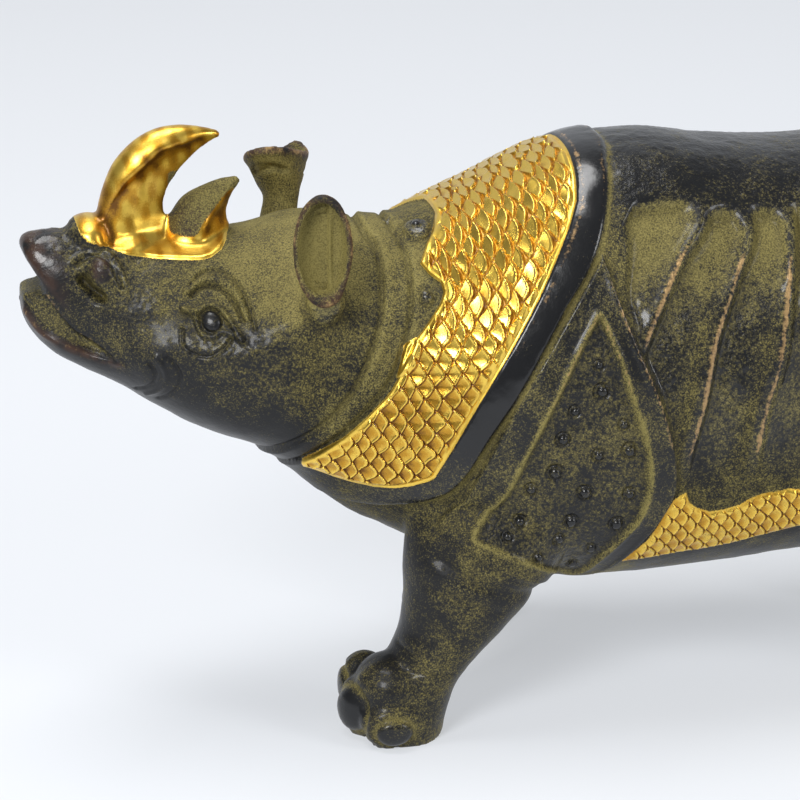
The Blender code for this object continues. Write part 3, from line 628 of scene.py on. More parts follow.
def read(items, key, width, kind=np.float32):
    """A value of every vertex, edge, face or corner of a mesh, as rows."""
    flat = np.empty(len(items) * width, kind)
    items.foreach_get(key, flat)
    return flat.reshape(-1, width)


def points_of(mesh):
    return read(mesh.vertices, "co", 3).astype(float)


def put_points(mesh, places):
    mesh.vertices.foreach_set("co", places.astype(np.float32).ravel())
    mesh.update()


def edges_of(mesh):
    return read(mesh.edges, "vertices", 2, np.int32)


def normals_of(mesh):
    return read(mesh.vertex_normals, "vector", 3).astype(float)


def neighbour_mean(values, ends):
    """The mean of each vertex's neighbours."""
    count = np.bincount(ends.ravel(), minlength=len(values)).astype(float)
    total = np.empty_like(values)
    for k in range(values.shape[1]):
        total[:, k] = np.bincount(ends[:, 0], values[ends[:, 1], k], len(values))
        total[:, k] += np.bincount(ends[:, 1], values[ends[:, 0], k], len(values))
    return total / np.maximum(count, 1.0)[:, None]


def smoothed(values, ends, rounds):
    for _ in range(rounds):
        values = neighbour_mean(values[:, None], ends)[:, 0]
    return values


def relax(places, ends, weight, rounds):
    """Moves each vertex towards its neighbours, and part way back out, so that nothing shrinks much."""
    for i in range(rounds):
        pull = 0.6 if i % 2 == 0 else -0.4
        places = places + (neighbour_mean(places, ends) - places) * (pull * weight)
    return places


def ease(value, low_end, high_end):
    """0 below the low end and 1 above the high end, with a smooth rise between."""
    share = np.clip((value - low_end) / (high_end - low_end), 0.0, 1.0)
    return share * share * (3 - 2 * share)


def soft(away, half):
    """1 on a line or at a point, falling off smoothly to both sides of it."""
    return np.exp(-((away / half) ** 2))


def line_distance(x, z, line):
    """Distance to a drawn line, above 0 on the right of its way."""
    best = np.full(len(x), 1e9)
    sign = np.ones(len(x))
    for (ax, az), (bx, bz) in zip(line, line[1:]):
        dx, dz = bx - ax, bz - az
        share = np.clip(((x - ax) * dx + (z - az) * dz) / (dx * dx + dz * dz), 0.0, 1.0)
        away = np.hypot(x - ax - share * dx, z - az - share * dz)
        nearer = away < best
        best = np.where(nearer, away, best)
        side = np.where((x - ax) * dz - (z - az) * dx > 0, 1.0, -1.0)
        sign = np.where(nearer, side, sign)
    return best * sign


def field_depth(x, z, outline):
    """Distance inside a closed outline, below 0 outside it."""
    closed = list(outline) + [outline[0]]
    away = np.abs(line_distance(x, z, closed))
    inside = np.zeros(len(x), bool)
    for (ax, az), (bx, bz) in zip(closed, closed[1:]):
        crosses = (az > z) != (bz > z)
        reach = ax + (z - az) / np.where(bz == az, 1e-9, bz - az) * (bx - ax)
        inside ^= crosses & (x < reach)
    return np.where(inside, away, -away)


def curve(points, steps=4):
    """A drawn line with its corners rounded."""
    return [tuple(p) for p in smooth_rows(points, steps)]


def mirrored_x(x):
    """The place on the front of the trunk that a place on its hind half repeats."""
    return np.where(x > MIRROR_X, 2 * MIRROR_X - x, x)


def least(values, blend):
    """The least of several distances, with the corner rounded where two of them meet."""
    return -blend * np.log(sum(np.exp(-np.clip(v, -40.0, 60.0) / blend) for v in values))


def flutes(x, z):
    """How deep the flutes are, how close a ridge is, and how near a flute's arched top is, each up to 1."""
    low_end = ease(z, 78, 96)
    field = ease(field_depth(x, z, FLUTE_FIELD), 0.0, 1.5)
    mirror_ridge = tuple((2 * MIRROR_X - ridge_x, ridge_z) for ridge_x, ridge_z in RIDGES[-1])
    dip, crest, upper = (np.zeros(len(x)) for _ in range(3))
    for left, right, top in zip(RIDGES, RIDGES[1:] + (mirror_ridge,), FLUTE_TOPS):
        from_left, from_right = -line_distance(x, z, curve(left)), line_distance(x, z, curve(right))
        share = np.clip(from_left / np.maximum(from_left + from_right, 1.0), 0.0, 1.0)
        dish = 0.85 * (1.0 - np.abs(2 * share - 1.0) ** 3)
        rising = 1.0 - np.sin(share * math.pi / 2)
        form = dish if right is mirror_ridge else dish + (rising - dish) * ease(top - z, 10, 34)
        here = form * ease(least((from_left, from_right, top - z), 2.0), -0.4, 3.2)
        held = (from_left > -0.5) & (from_right > -0.5)
        dip = np.where(held, np.maximum(dip, here), dip)
        upper = np.where(held, np.maximum(upper, 1.0 - ease(top - z, 4, 40)), upper)
        half = np.where(from_right > 0, RIDGE_WIDTHS[0], RIDGE_WIDTHS[1])
        crest = np.maximum(crest, soft(from_right, half) * ease(top - z, 8, 16))
    return dip * field * (0.25 + 0.75 * low_end), crest * field * low_end, upper * field


def scale_height(p, q, roundness):
    """Overlapping scales, one to a step of p and q, that rise to rounded tips along p and q together."""
    along_p, along_q = np.maximum(p % 1.0, 1e-4), np.maximum(q % 1.0, 1e-4)
    reach = (along_p**roundness + along_q**roundness) ** (1.0 / roundness)
    return (0.12 + 0.88 * np.minimum(reach, 1.0) ** 1.15) * (1.0 - ease(reach, 0.95, 1.03))


def girth(y, z):
    """Height on the side of the body, carried on over its back as if it were unrolled."""
    turn = np.arctan2(np.abs(y), z - GIRTH_MIDDLE)
    return GIRTH_MIDDLE + GIRTH_RADIUS * (math.pi / 2 - turn)


def mantle_scales(x, y, z):
    """Scale coordinates on the mantle, and how round the scales' tips are."""
    up = girth(y, z)
    a, b = (x - 10.0) / 50.0, (up - 130.0) / 50.0
    p = 8.93 * a - 6.23 * b + 0.11 * a * a - 1.80 * a * b + 0.79 * b * b
    q = 9.50 * a + 5.83 * b - 1.93 * a * a + 3.38 * a * b - 1.34 * b * b
    waver = 0.07 * np.sin(p * 1.47 + 1.7 * np.sin(q * 1.08)) + 0.05 * np.sin(q * 3.9 + p * 0.94)
    roundness = 2.4 + 5.0 * (1.0 - ease(up + 0.3 * x, 118, 142))
    return p + waver, q + 0.8 * waver, roundness


def strip_scales(x, z):
    p = 0.213 * x - 0.115 * z
    q = 0.172 * x + 0.185 * z
    return p + 0.05 * np.sin(q * 2.3), q + 0.05 * np.sin(p * 1.9 + 1.0), np.full(len(x), 5.0)


def plate_relief(x, z):
    """The shoulder plate's rise, and masks for its edge, its lip and its field."""
    outer, inner = field_depth(x, z, curve(PLATE_OUT)), field_depth(x, z, curve(PLATE_IN))
    low_corner = ease(z + 0.6 * x, 66, 92)
    border = PLATE_BORDER_RISE * (0.35 + 0.65 * low_corner)
    rise = border * ease(outer, -0.6, 1.0)
    rise -= (border - PLATE_FIELD_RISE) * ease(inner, -0.5, 0.9)
    lip = soft(inner + 0.3, 0.9)
    edge = soft(outer - 0.9, 0.9)
    rise += PLATE_LIP_RISE * lip + PLATE_EDGE_RISE * edge * low_corner
    studs = np.zeros(len(x))
    for rivet_x, rivet_z, radius in RIVETS:
        away = np.hypot(x - rivet_x, z - rivet_z) / (0.95 * radius)
        dome = dome_height(away)
        rise += 0.75 * radius * dome - 0.60 * soft(away - 1.25, 0.28)
        studs = np.maximum(studs, ease(dome, 0.2, 0.7))
    return rise, edge, lip, ease(inner, 0, 2), studs


def near_lines(x, z, lines, width=1.0):
    """The rise of a set of drawn lines, each a soft ridge or groove."""
    rise = np.zeros(len(x))
    for height, half, points in lines:
        low_x, low_z = np.min(points, axis=0) - LINE_MARGIN
        high_x, high_z = np.max(points, axis=0) + LINE_MARGIN
        close = (x > low_x) & (x < high_x) & (z > low_z) & (z < high_z)
        rise[close] += height * soft(line_distance(x[close], z[close], curve(points)), half * width)
    return rise


def lattice_noise(places, size, seed):
    """Smooth noise between -1 and 1 with lumps of about the given size."""
    table = np.random.default_rng(seed).uniform(-1.0, 1.0, 4096)
    cell = places / size
    base = np.floor(cell).astype(np.int64)
    share = cell - base
    share = share * share * (3 - 2 * share)
    total = np.zeros(len(places))
    for corner in range(8):
        step = np.array([corner & 1, corner >> 1 & 1, corner >> 2 & 1])
        weight = np.prod(np.where(step == 1, share, 1.0 - share), axis=1)
        key = (base + step) * np.array([73856093, 19349663, 83492791])
        total += weight * table[(key[:, 0] ^ key[:, 1] ^ key[:, 2]) & 4095]
    return total


def egg_distance(places, middle, half):
    """Distance from a middle as a share of the half sizes."""
    return np.linalg.norm((places - np.array(middle)) / np.array(half), axis=1)


def dome_height(away):
    """A half ball of height 1 over places less than 1 away."""
    return np.sqrt(np.clip(1.0 - away**2, 0.0, 1.0))


class Carving:
    """The carving at each place of the skin: how far it stands out, and masks for its finish."""

    def __init__(self, places, normals):
        self.places = places
        self.x, self.y, self.z = places.T
        for name in ("rise", *MASKS):
            setattr(self, name, np.zeros(len(places)))
        self.olive += BARE_OLIVE
        self.tips += PLAIN_TIPS
        sideways = normals[:, 1] * np.sign(self.y)
        self.outward, self.face_on = ease(sideways, -0.05, 0.25), ease(sideways, 0.1, 0.4)
        self.upward, self.downward = ease(normals[:, 2], 0.2, 0.8), ease(-normals[:, 2], 0.1, 0.7)
        self.around = np.maximum(self.outward, self.upward)
        self.flank()
        self.plates()
        self.neck()
        self.bosses()
        self.face()
        self.mouth()
        self.horns()
        self.ears()
        self.feet()
        self.hand_work()

    def add(self, share, here=slice(None), **amounts):
        """Adds its own amount of the share to the rise or to each mask that is named."""
        for name, amount in amounts.items():
            getattr(self, name)[here] += amount * share

    def off(self, line):
        """How far each place is from a drawn line, above 0 on the right of the line's way."""
        return line_distance(self.x, self.z, curve(line))

    def gild(self, share):
        """Lays gold where there is less than the share."""
        self.gilt = np.maximum(self.gilt, share)

    def scaled(self, here, share, p, q, roundness):
        """Notes the scale coordinates of a place for the finish, and returns the scales' height there."""
        self.scale_p = np.where(here, p, self.scale_p)
        self.scale_q = np.where(here, q, self.scale_q)
        self.tips = np.where(here, roundness, self.tips)
        self.scales = np.maximum(self.scales, share)
        return scale_height(p, q, roundness)

    def on_trunk(self, function, x, near, count):
        """Masks from a function of x and z, worked out only near where they are."""
        out = [np.zeros(len(x)) for _ in range(count)]
        for whole, part in zip(out, function(x[near], self.z[near])):
            whole[near] = part
        return out

    def flank(self):
        """The flutes, the smooth back above them and the gilt belly strip below."""
        x, z, out = mirrored_x(self.x), self.z, self.outward
        dip, crest, upper = self.on_trunk(flutes, x, (x > FLUTES_CORNER[0]) & (z > FLUTES_CORNER[1]), 3)
        self.add(dip * out, rise=-FLUTE_DEPTH)
        back = ease(z, *BACK_HEIGHT) * ease(self.x, *BACK_FRONT_X)
        self.add(back * (1.0 - ease(dip, 0.05, 0.35)), olive=-0.33)
        self.add(back * (1.0 - dip), gloss=0.8)
        self.add(back, pits=0.5)
        self.add(out * upper * ease(dip, 0.1, 0.5), olive=0.28)
        self.add(out * ease(dip, 0.5, 0.9), olive=0.08)
        middle = out * ease(crest + dip, 0.05, 0.3) * ease(z, *FLUTES_FOOT) * (1.0 - upper)
        self.add(middle, gloss=0.9, pits=0.9, olive=-0.14)
        self.add(crest**2 * out, wear=0.85)
        near_strip = (x > FLUTES_CORNER[0]) & (z > STRIP_BAND[0]) & (z < STRIP_BAND[1])
        depth = np.full(len(x), -9.0)
        depth[near_strip] = field_depth(x[near_strip], z[near_strip], curve(BELLY_STRIP, 2))
        strip, inner = ease(depth, -0.5, 0.5) * out, ease(depth, 0.5, 1.6)
        height = self.scaled(strip > 0, strip * inner, *strip_scales(x, z))
        self.rise += strip * (STRIP_RISE + STRIP_SCALE_RISE * height * inner)
        self.gild(strip * STRIP_GILT)
        self.add(strip, rub=0.30)
        # Downward faces of the belly ahead of the strip are darkened as painted shade.
        self.add(self.downward * ease(self.x, *BELLY_FRONT_X) * (1.0 - strip), olive=-0.15)

    def plates(self):
        """The riveted plates of the shoulder and the hip."""
        z, out = self.z, self.outward
        for along in (self.x, PLATE_APEX_X + (HIP_APEX_X - self.x) / HIP_NARROW):
            near = (along > PLATE_X[0]) & (along < PLATE_X[1])
            near &= (z > PLATE_HEIGHT[0]) & (z < PLATE_HEIGHT[1])
            rise, edge, lip, field, studs = self.on_trunk(plate_relief, along, near, 5)
            self.rise += out * rise
            # A lighter patina line along the raised lip, a painted highlight on it.
            self.add(out * lip, olive=0.30)
            self.add(out * field, olive=-0.13, gloss=0.45)
            self.add(out * studs, olive=-0.3, gloss=0.5)
            self.pits += out * field * (1.0 - studs)
            border = out * ease(rise, 0.8, 1.6) * (1.0 - lip) * (1.0 - field)
            self.add(border * ease(z + 0.6 * along, 80, 105), olive=-0.22, gloss=0.6)
            self.add(out * edge**3 * ease(along, 50, 60) * ease(z, 78, 110), wear=0.7)
            self.add(out * lip**3 * ease(z, 100, 125), wear=0.6)

    def neck(self):
        """The two collars, the strap behind the mantle, and the mantle."""
        x, z = self.x, self.z
        collars, folds = np.zeros(len(x)), np.zeros(len(x))
        for fold in COLLAR_FOLDS:
            behind = -self.off(fold)
            step = 0.35 + 0.65 * np.exp(-np.maximum(behind, 0.0) / COLLAR_TAPER)
            collars = np.where(behind < -0.2, collars, COLLAR_RISE * step * ease(behind, -0.2, 0.9))
            folds = np.maximum(folds, soft(behind + 0.5, 0.7))
        strap = -self.off(STRAP_BACK)
        mantle = field_depth(x, z, curve(MANTLE, 2))
        ahead = self.around * ease(-strap, -0.6, 0.6)
        neck = ahead * ease(x, *NECK_FRONT_X)
        bare = neck * (mantle < 0)
        self.rise += neck * collars
        self.add(bare * folds, rise=-0.9, olive=0.25)
        self.add(bare * ease(collars, 0.2, 1.0) * ease(z, 105, 125), olive=0.18)
        band = ahead * ease(-mantle, -0.6, 0.6) * ease(strap, -16, -13) * ease(x, *STRAP_FRONT_X)
        rolled = 1.0 - 0.35 * (np.clip(-strap, 0.0, STRAP_WIDTH) * 2 / STRAP_WIDTH - 1.0) ** 2
        self.add(band * rolled, rise=STRAP_RISE)
        self.add(band, olive=-0.25, gloss=1.0)
        self.add(band * ease(z + x, 92, 120), olive=-0.42)
        self.add(band * soft(mantle + 1.8, 0.9) * ease(z, 105, 150), wear=0.62)
        self.add(band * soft(strap + 1.2, 0.7) * ease(z, 140, 165), wear=0.40)
        self.add(self.around * soft(strap - 0.6, 0.9) * ease(x, -20, 0), olive=0.5)
        self.mantle(mantle, ease(-strap, 14, 20))

    def mantle(self, depth, front):
        """The gilt scales, the raised front edge and its flap. Depth is the way in from the mantle's edge."""
        x, z = self.x, self.z
        on, inner = self.around * ease(depth, -0.5, 0.5), ease(depth, 0.7, 2.0)
        height = self.scaled(on > 0, on * inner, *mantle_scales(x, self.y, z))
        lip = soft(depth - 0.8, 0.9) * front
        self.rise += on * (MANTLE_RISE + SCALE_RISE * height * inner + 0.5 * lip)
        flap = field_depth(x, z, MANTLE_FLAP)
        self.add(self.around * ease(flap, -0.3, 0.8) * (1.0 - 0.3 * ease(flap, 0.8, 2.5)), rise=0.9)
        self.gild(np.maximum(on, self.around * ease(flap, -0.4, 0.4)))
        # The gold is darker towards the lower part of the mantle and a little lighter at its top.
        lower = 1.0 - ease(z + 0.35 * x, 112, 138)
        self.rub += on * inner * (0.46 * lower - 0.06)

    def bosses(self):
        for middle, half, height in BOSSES:
            away = egg_distance(self.places, middle, half)
            self.add(dome_height(away), rise=height)
            self.add(soft(away - 1.15, 0.2), rise=-0.5)
            self.add(ease(-away, -1.0, -0.6), olive=-0.3, gloss=0.8)

    def face(self):
        """The folds round the eye and the mouth's corner, the cheek's ridge, the eye and the nostril."""
        x, z, side = self.x, self.z, self.face_on
        head = (x < -44.0) & (z > 96.0)
        self.rise[head] += near_lines(x[head], z[head], FACE_LINES, FACE_LINE_WIDTH) * side[head]
        self.add(side * soft(self.off(CHEEK_RIDGE), CHEEK_WIDTH), rise=CHEEK_RISE)
        from_eye = np.hypot(x - EYE[0], z - EYE[1])
        ball = dome_height(from_eye / EYE_RADIUS)
        self.add(side * ball, rise=EYE_RISE)
        self.add(side * soft(from_eye, 5.2), rise=-0.9)
        self.add(side * ease(ball, 0.15, 0.5), gloss=0.5, olive=-0.30)
        lump = soft(np.hypot(x - NOSTRIL_LUMP[0], z - NOSTRIL_LUMP[1]), LUMP_WIDTH)
        self.add(side * lump, rise=LUMP_RISE)
        self.add(side * ease(lump, 0.5, 0.9), olive=-0.25, warm=0.6)
        slot = soft(self.off(NOSTRIL_SLOT), SLOT_WIDTH)
        self.add(side * slot, rise=-SLOT_DEPTH, olive=0.25)
        brow = ease(z - 0.10 * x, *BROW_HEIGHT) * ease(-x, *BROW_AHEAD) * ease(x, *BROW_FRONT_X)
        self.add(brow * ease(x + 0.5 * z, 0, 26), olive=0.30)
        jaw = (1.0 - ease(z + JAW_SLOPE * x, *JAW_HEIGHT)) * ease(-x, *JAW_AHEAD)
        self.add(jaw, olive=-0.24, gloss=0.35)
        cheek = ease(-x, *CHEEK_AHEAD) * (1.0 - brow) * (1.0 - jaw)
        self.add(cheek, olive=-0.10, pits=0.9, gloss=0.35)
        # Downward faces of the throat are darkened as painted shade, and the snout's faces that do not face
        # up a little too.
        self.add(self.downward * ease(-x, *THROAT_AHEAD), olive=-0.3)
        self.add(ease(-x, *SNOUT_AHEAD) * (1.0 - self.upward), olive=-0.04)

    def mouth(self):
        """The rim of each lip, the gum between them and the worn beak."""
        x = self.x
        ahead = ease(-x, *MOUTH_AHEAD)
        over_rim, over_lip = (-self.off(lip) for lip in (LOWER_LIP, UPPER_LIP))
        gum = ease(over_rim, 2.4, 3.4) * ease(-over_lip, 0.0, 1.2) * ahead
        self.add(gum, olive=0.25)
        self.add(self.face_on * ahead * gum, rise=-0.6)
        self.add(self.face_on * ahead * soft(over_rim - 0.9, 1.0), rise=0.7)
        self.add(self.face_on * ahead * soft(over_lip - 0.6, 0.8), rise=0.5)
        self.add(ahead * soft(over_rim - 0.7, 1.6), olive=-0.3)
        self.add(ahead * soft(over_rim - 0.8, 1.3), warm=0.8)
        self.add(ahead * soft(over_rim - 1.2, 0.6), wear=0.35)
        self.add(ahead * soft(over_lip - 0.5, 0.5), wear=0.6)
        self.add(ease(-x, *BEAK_AHEAD) * ease(over_lip, 1, 3), olive=-0.32, warm=0.7, gloss=0.4)

    def horns(self):
        """The gilt pad under both horns, the front one's crease and the rear one's dark facet."""
        x, z = self.x, self.z
        depth = field_depth(x, z, curve(HORN_GILT, 2))
        pad, low_down = ease(depth, -0.4, 0.6), 1.0 - ease(z, *HORN_PAD_TOP)
        self.add(pad * low_down, rise=PAD_RISE)
        self.add(self.around * soft(depth - 0.7, 0.6) * low_down * ease(x, -100, -94), rise=0.4)
        worn_front = (1.0 - ease(depth, 0, 4)) * ease(-x, 92, 97) * low_down
        self.gild(pad - 0.45 * worn_front)
        crease = self.off(HORN_CREASE)
        front = pad * ease(-x, 58, 64) * ease(z - 0.4 * x, 185, 190)
        self.add(front * soft(crease, 1.3), rise=-0.7)
        # The gold is darkened along the crease as painted shade.
        self.add(front * soft(crease, 3.0), rub=0.5)
        ridge = self.off(REAR_HORN_RIDGE)
        rear = pad * ease(x, -75, -72) * ease(z, 155.5, 159.0) * ease(178.0 - z, 0, 2)
        self.add(rear * soft(ridge, 1.6), rise=0.7)
        self.add(rear * np.maximum(ease(ridge, -0.8, 1.0), ease(z, 168.0, 171.5)), gilt=-0.72, warm=0.6)
        self.add(rear, rub=0.35)
        streak = np.sin(1.1 * x + 0.35 * z + 2.0 * np.sin(0.13 * z)) * np.sin(0.21 * x - 0.5 * z)
        self.rub += pad * (0.26 + 0.30 * streak)

    def ears(self):
        """The hollow of each ear with its one fold, and its worn rim."""
        for _, centre, facing, long_way, curl in (NEAR_EAR, FAR_EAR):
            facing = np.array(facing) / np.linalg.norm(facing)
            along = np.array(long_way) - facing * facing.dot(long_way)
            along /= np.linalg.norm(along)
            local = self.places - np.array(centre)
            side, up, out = local @ np.cross(facing, along), local @ along, local @ facing
            reach = np.hypot(side / EAR_HALF_WIDTH, up / EAR_HALF_LENGTH)
            bent = out - curl * np.maximum(up / EAR_HALF_LENGTH, 0.0) ** 3
            here = (reach < 1.25) & (np.abs(bent) < 8.0)
            dish = here * (bent > -6.5) * ease(0.86 - reach, 0.0, 0.06)
            self.add(dish, rise=-1.7, olive=0.4)
            self.add(dish * soft(side + 0.22 * EAR_HALF_WIDTH, 0.55), rise=0.9)
            rim = here * soft(reach - 0.96, 0.08) * ease(bent, -3.0, -0.5)
            self.add(rim, rise=0.5, olive=-0.5, warm=1.0)
            self.add(rim**2, wear=0.50)

    def feet(self):
        """The folds and the nails of each foot, drawn on the near fore foot and moved to the others."""
        for side in (-1, 1):
            for shift, fore in ((FAR_FORE_BACK if side > 0 else 0.0, True), (hind_shift(side), False)):
                here = (self.z < LEG_TOP) & (self.y * side > LEG_INSIDE) & ((self.x < LEGS_APART_X) == fore)
                x, z = self.x[here] - shift, self.z[here]
                self.rise[here] += near_lines(x, z, LEG_LINES) * self.outward[here]
                places = np.column_stack([x, -np.abs(self.y[here]), z])
                for middle, half in NAILS:
                    away = egg_distance(places, middle, half)
                    self.add(ease(-away, -1.05, -0.75), here, rise=0.4, olive=-0.22, gloss=0.5)
                    self.add(soft(away - 1.22, 0.16), here, rise=-0.8, olive=0.5)
        leg = 1.0 - ease(self.z, *LEG_FADE)
        self.olive += leg * (0.30 * lattice_noise(self.places, 12.0, 4) - 0.16)
        self.add(leg, gloss=0.35)

    def hand_work(self):
        """Slow unevenness from the wax, and the stippling of the cast ground."""
        free = 1.0 - self.gilt
        for size, seed, height in WAX_LUMPS:
            self.add(lattice_noise(self.places, size, seed), rise=height)
        for size, seed, smooth_height, pitted_height in STIPPLES:
            height = free * (smooth_height + pitted_height * self.pits)
            self.rise += height * lattice_noise(self.places, size, seed)

    def masks(self):
        """Each mask by its name, as the material reads it."""
        found = {name: getattr(self, name) for name in MASKS}
        return found | {name: np.clip(found[name], 0.0, 1.0) for name in CLIPPED_MASKS}


def hind_shift(side):
    """How far back of the near fore foot a hind foot stands."""
    back = HIND_LEG[-1][1] - FORE_LEG[-1][1]
    return back - (FAR_HIND_FORWARD if side > 0 else 0.0)


def refined(mesh, wanted):
    """The mesh with the wanted faces cut in four."""
    form = bmesh.new()
    form.from_mesh(mesh)
    form.faces.ensure_lookup_table()
    edges = {edge for i in np.nonzero(wanted)[0] for edge in form.faces[i].edges}
    bmesh.ops.subdivide_edges(form, edges=list(edges), cuts=1, use_grid_fill=True)
    bmesh.ops.triangulate(form, faces=[f for f in form.faces if len(f.verts) > 4])
    bpy.data.meshes.remove(mesh)
    return mesh_of(form, "fine")


def shaped_lips(places):
    """Narrows the beak, and leans the gum in between the two lips."""
    x, z = places[:, 0] / PART, places[:, 2] / PART
    over_rim = -line_distance(x, z, LOWER_LIP)
    over_lip = -line_distance(x, z, UPPER_LIP)
    up_gum = np.clip(over_rim / np.maximum(over_rim - over_lip, 0.5), 0.0, 1.0) * (over_rim > 0)
    up_gum = np.where(over_lip > 0, 1.0, up_gum)
    narrow = LIP_STEP * ease(over_rim, -0.4, 1.2) + GUM_LEAN * up_gum - LIP_OUT * ease(over_lip, -0.5, 0.7)
    places[:, 1] *= 1.0 - narrow * ease(-x, *LIPS_START)
    return places


def thinned_web(places):
    """Thins the web behind the front roll of the front horn."""
    x, z = places[:, 0] / PART, places[:, 2] / PART
    places[:, 1] *= 1.0 - WEB_THIN * ease(field_depth(x, z, HORN_WEB), -0.8, 1.6)
    return places


def face_middles(mesh):
    return read(mesh.polygons, "center", 3).astype(float)


def gilt_faces(x, y, z):
    """The faces on the mantle, and those on the belly strip."""
    mantle = field_depth(x, z, MANTLE) > -GILT_MARGIN
    strip = (field_depth(mirrored_x(x), z, BELLY_STRIP) > -GILT_MARGIN) & (np.abs(y) > STRIP_INSIDE)
    return mantle, strip


def wants_fineness(middles):
    """Faces on the scales, on the near side of the face, round the near rivets and on the near ear."""
    x, y, z = (middles / PART).T
    mantle, strip = gilt_faces(x, y, z)
    face = (x < -50.0) & (x > -103.0) & (z > 110.0) & (z < 153.0) & (y < -6.0)
    ear = (x > -46.0) & (x < -18.0) & (z > 143.0) & (y < -36.0)
    studs = np.zeros(len(x), bool)
    for rivet_x, rivet_z, _ in RIVETS:
        studs |= (np.hypot(x - rivet_x, z - rivet_z) < STUD_REACH) & (y < -20.0)
    return mantle | strip | face | studs | ear


def skin():
    """The whole skin with its carving, and the carving itself."""
    mesh = fused_skin()
    places, ends = points_of(mesh), edges_of(mesh)
    places = thinned_web(shaped_lips(places))
    rounds = round(BLEND_ROUNDS * (SOLID_FUSE / FUSE_SIZE) ** 2 / 2) * 2
    places = relax(places, ends, 1.0, rounds)
    put_points(mesh, places)
    mesh = refined(mesh, wants_fineness(face_middles(mesh)))
    places, ends = points_of(mesh), edges_of(mesh)
    places = relax(places, ends, CUT_RELAX, 2)
    put_points(mesh, places)
    normals = normals_of(mesh)
    carving = Carving(places / PART, normals)
    places = places + normals * (carving.rise * PART)[:, None]
    # Crest: above 0 on ridges and below 0 in hollows. The finish wears ridges to copper with it, and also
    # paints highlights on ridges and shade in hollows.
    fine = smoothed(carving.rise, ends, 1)
    carving.crest = np.clip(fine - smoothed(fine, ends, CREST_ROUNDS), -1.0, 1.0)
    places[:, 0] -= MIDDLE_X * PART
    places[:, 2] = np.where(places[:, 2] < SOLE_FLAT * PART, 0.0, places[:, 2])
    put_points(mesh, places)
    return mesh, carving


def piece_of(name, mesh, wanted, masks):
    """A piece made of the wanted faces of the whole skin, shaded as if it were still whole."""
    totals = read(mesh.polygons, "loop_total", 1, np.int32)[:, 0]
    corners = read(mesh.loops, "vertex_index", 1, np.int32)[:, 0]
    used, renumbered = np.unique(corners[np.repeat(wanted, totals)], return_inverse=True)
    starts = np.cumsum(totals[wanted]) - totals[wanted]
    part = bpy.data.meshes.new(name)
    part.vertices.add(len(used))
    part.vertices.foreach_set("co", points_of(mesh)[used].astype(np.float32).ravel())
    part.loops.add(len(renumbered))
    part.loops.foreach_set("vertex_index", renumbered.astype(np.int32).ravel())
    part.polygons.add(len(starts))
    part.polygons.foreach_set("loop_start", starts.astype(np.int32))
    part.update(calc_edges=True)
    part.validate()
    for mask, values in masks.items():
        layer = part.attributes.new(mask, "FLOAT", "POINT")
        layer.data.foreach_set("value", values[used].astype(np.float32))
    part.shade_smooth()
    part.normals_split_custom_set_from_vertices(normals_of(mesh)[used])
    thing = add_object(name, part)
    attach(thing, "root")
    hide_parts("rhinoceros")
    return thing


def regions(mesh):
    """Which piece each face belongs to."""
    x, y, z = (face_middles(mesh) / PART).T
    x = x + MIDDLE_X
    near = y < 0
    mantle, strip = gilt_faces(x, y, z)
    plain = ~(mantle | strip)
    head = plain & (x < HEAD_END_X) & (z > HEAD_LOW_Z)
    fore = plain & ~head & (x < SHOULDERS_END_X)
    hind = plain & (x > HINDQUARTERS_X)
    trunk = plain & ~head & ~fore & ~hind
    pieces = {}
    for name, faces in (("gilt_mantle", mantle), ("gilt_belly", strip & ~mantle)):
        pieces[f"{name}_near"] = faces & near
        pieces[f"{name}_far"] = faces & ~near
    pieces["head"] = head
    for name, faces in (("shoulders", fore), ("flank", trunk)):
        pieces[f"{name}_near"] = faces & near
        pieces[f"{name}_far"] = faces & ~near
    pieces["hindquarters"] = hind
    return pieces


class Nodes:
    """Short calls for building a material's node tree."""

    def __init__(self, name):
        self.material = bpy.data.materials.new(name)
        self.material.use_nodes = True
        self.tree = self.material.node_tree
        self.shader = self.tree.nodes["Principled BSDF"]

    def add(self, kind, values=(), **settings):
        node = self.tree.nodes.new(kind)
        for key, value in settings.items():
            setattr(node, key, value)
        for socket, value in dict(values).items():
            self.put(node.inputs[socket], value)
        return node

    def put(self, socket, value):
        if isinstance(value, bpy.types.NodeSocket):
            self.tree.links.new(value, socket)
        else:
            socket.default_value = value

    def shade(self, **values):
        """Sets the shader's sockets. A name has _ for each space in the socket's own name."""
        for name, value in values.items():
            self.put(self.shader.inputs[name.replace("_", " ")], value)

    def math(self, operation, first, second=0.0, third=0.0):
        node = self.add("ShaderNodeMath", {0: first, 1: second, 2: third}, operation=operation)
        return node.outputs[0]

    def times(self, first, second):
        return self.math("MULTIPLY", first, second)

    def plus(self, value, amount, base):
        """The base and an amount of the value."""
        return self.math("MULTIPLY_ADD", value, amount, base)

    def swayed(self, noise, amount, base):
        """The base, moved up and down by an amount of a noise."""
        return self.plus(self.math("SUBTRACT", noise, 0.5), amount, base)

    def ramp(self, value, low_end, high_end, out_low=0.0, out_high=1.0):
        values = {"Value": value, "From Min": low_end, "From Max": high_end}
        values |= {"To Min": out_low, "To Max": out_high}
        return self.add("ShaderNodeMapRange", values, interpolation_type="SMOOTHSTEP").outputs["Result"]

    def mask(self, name):
        return self.add("ShaderNodeAttribute", attribute_name=name).outputs["Fac"]

    def noise(self, place, scale, detail, roughness):
        values = {"Vector": place, "Scale": scale, "Detail": detail, "Roughness": roughness}
        return self.add("ShaderNodeTexNoise", values).outputs["Fac"]

    def mix(self, share, first, second, kind="RGBA"):
        node = self.add("ShaderNodeMix", data_type=kind)
        sockets = [s for s in node.inputs if s.enabled]
        for socket, value in zip(sockets, (share, first, second)):
            self.put(socket, value)
        return [s for s in node.outputs if s.enabled][0]

    def blend(self, share, first, second):
        return self.mix(share, first, second, "FLOAT")


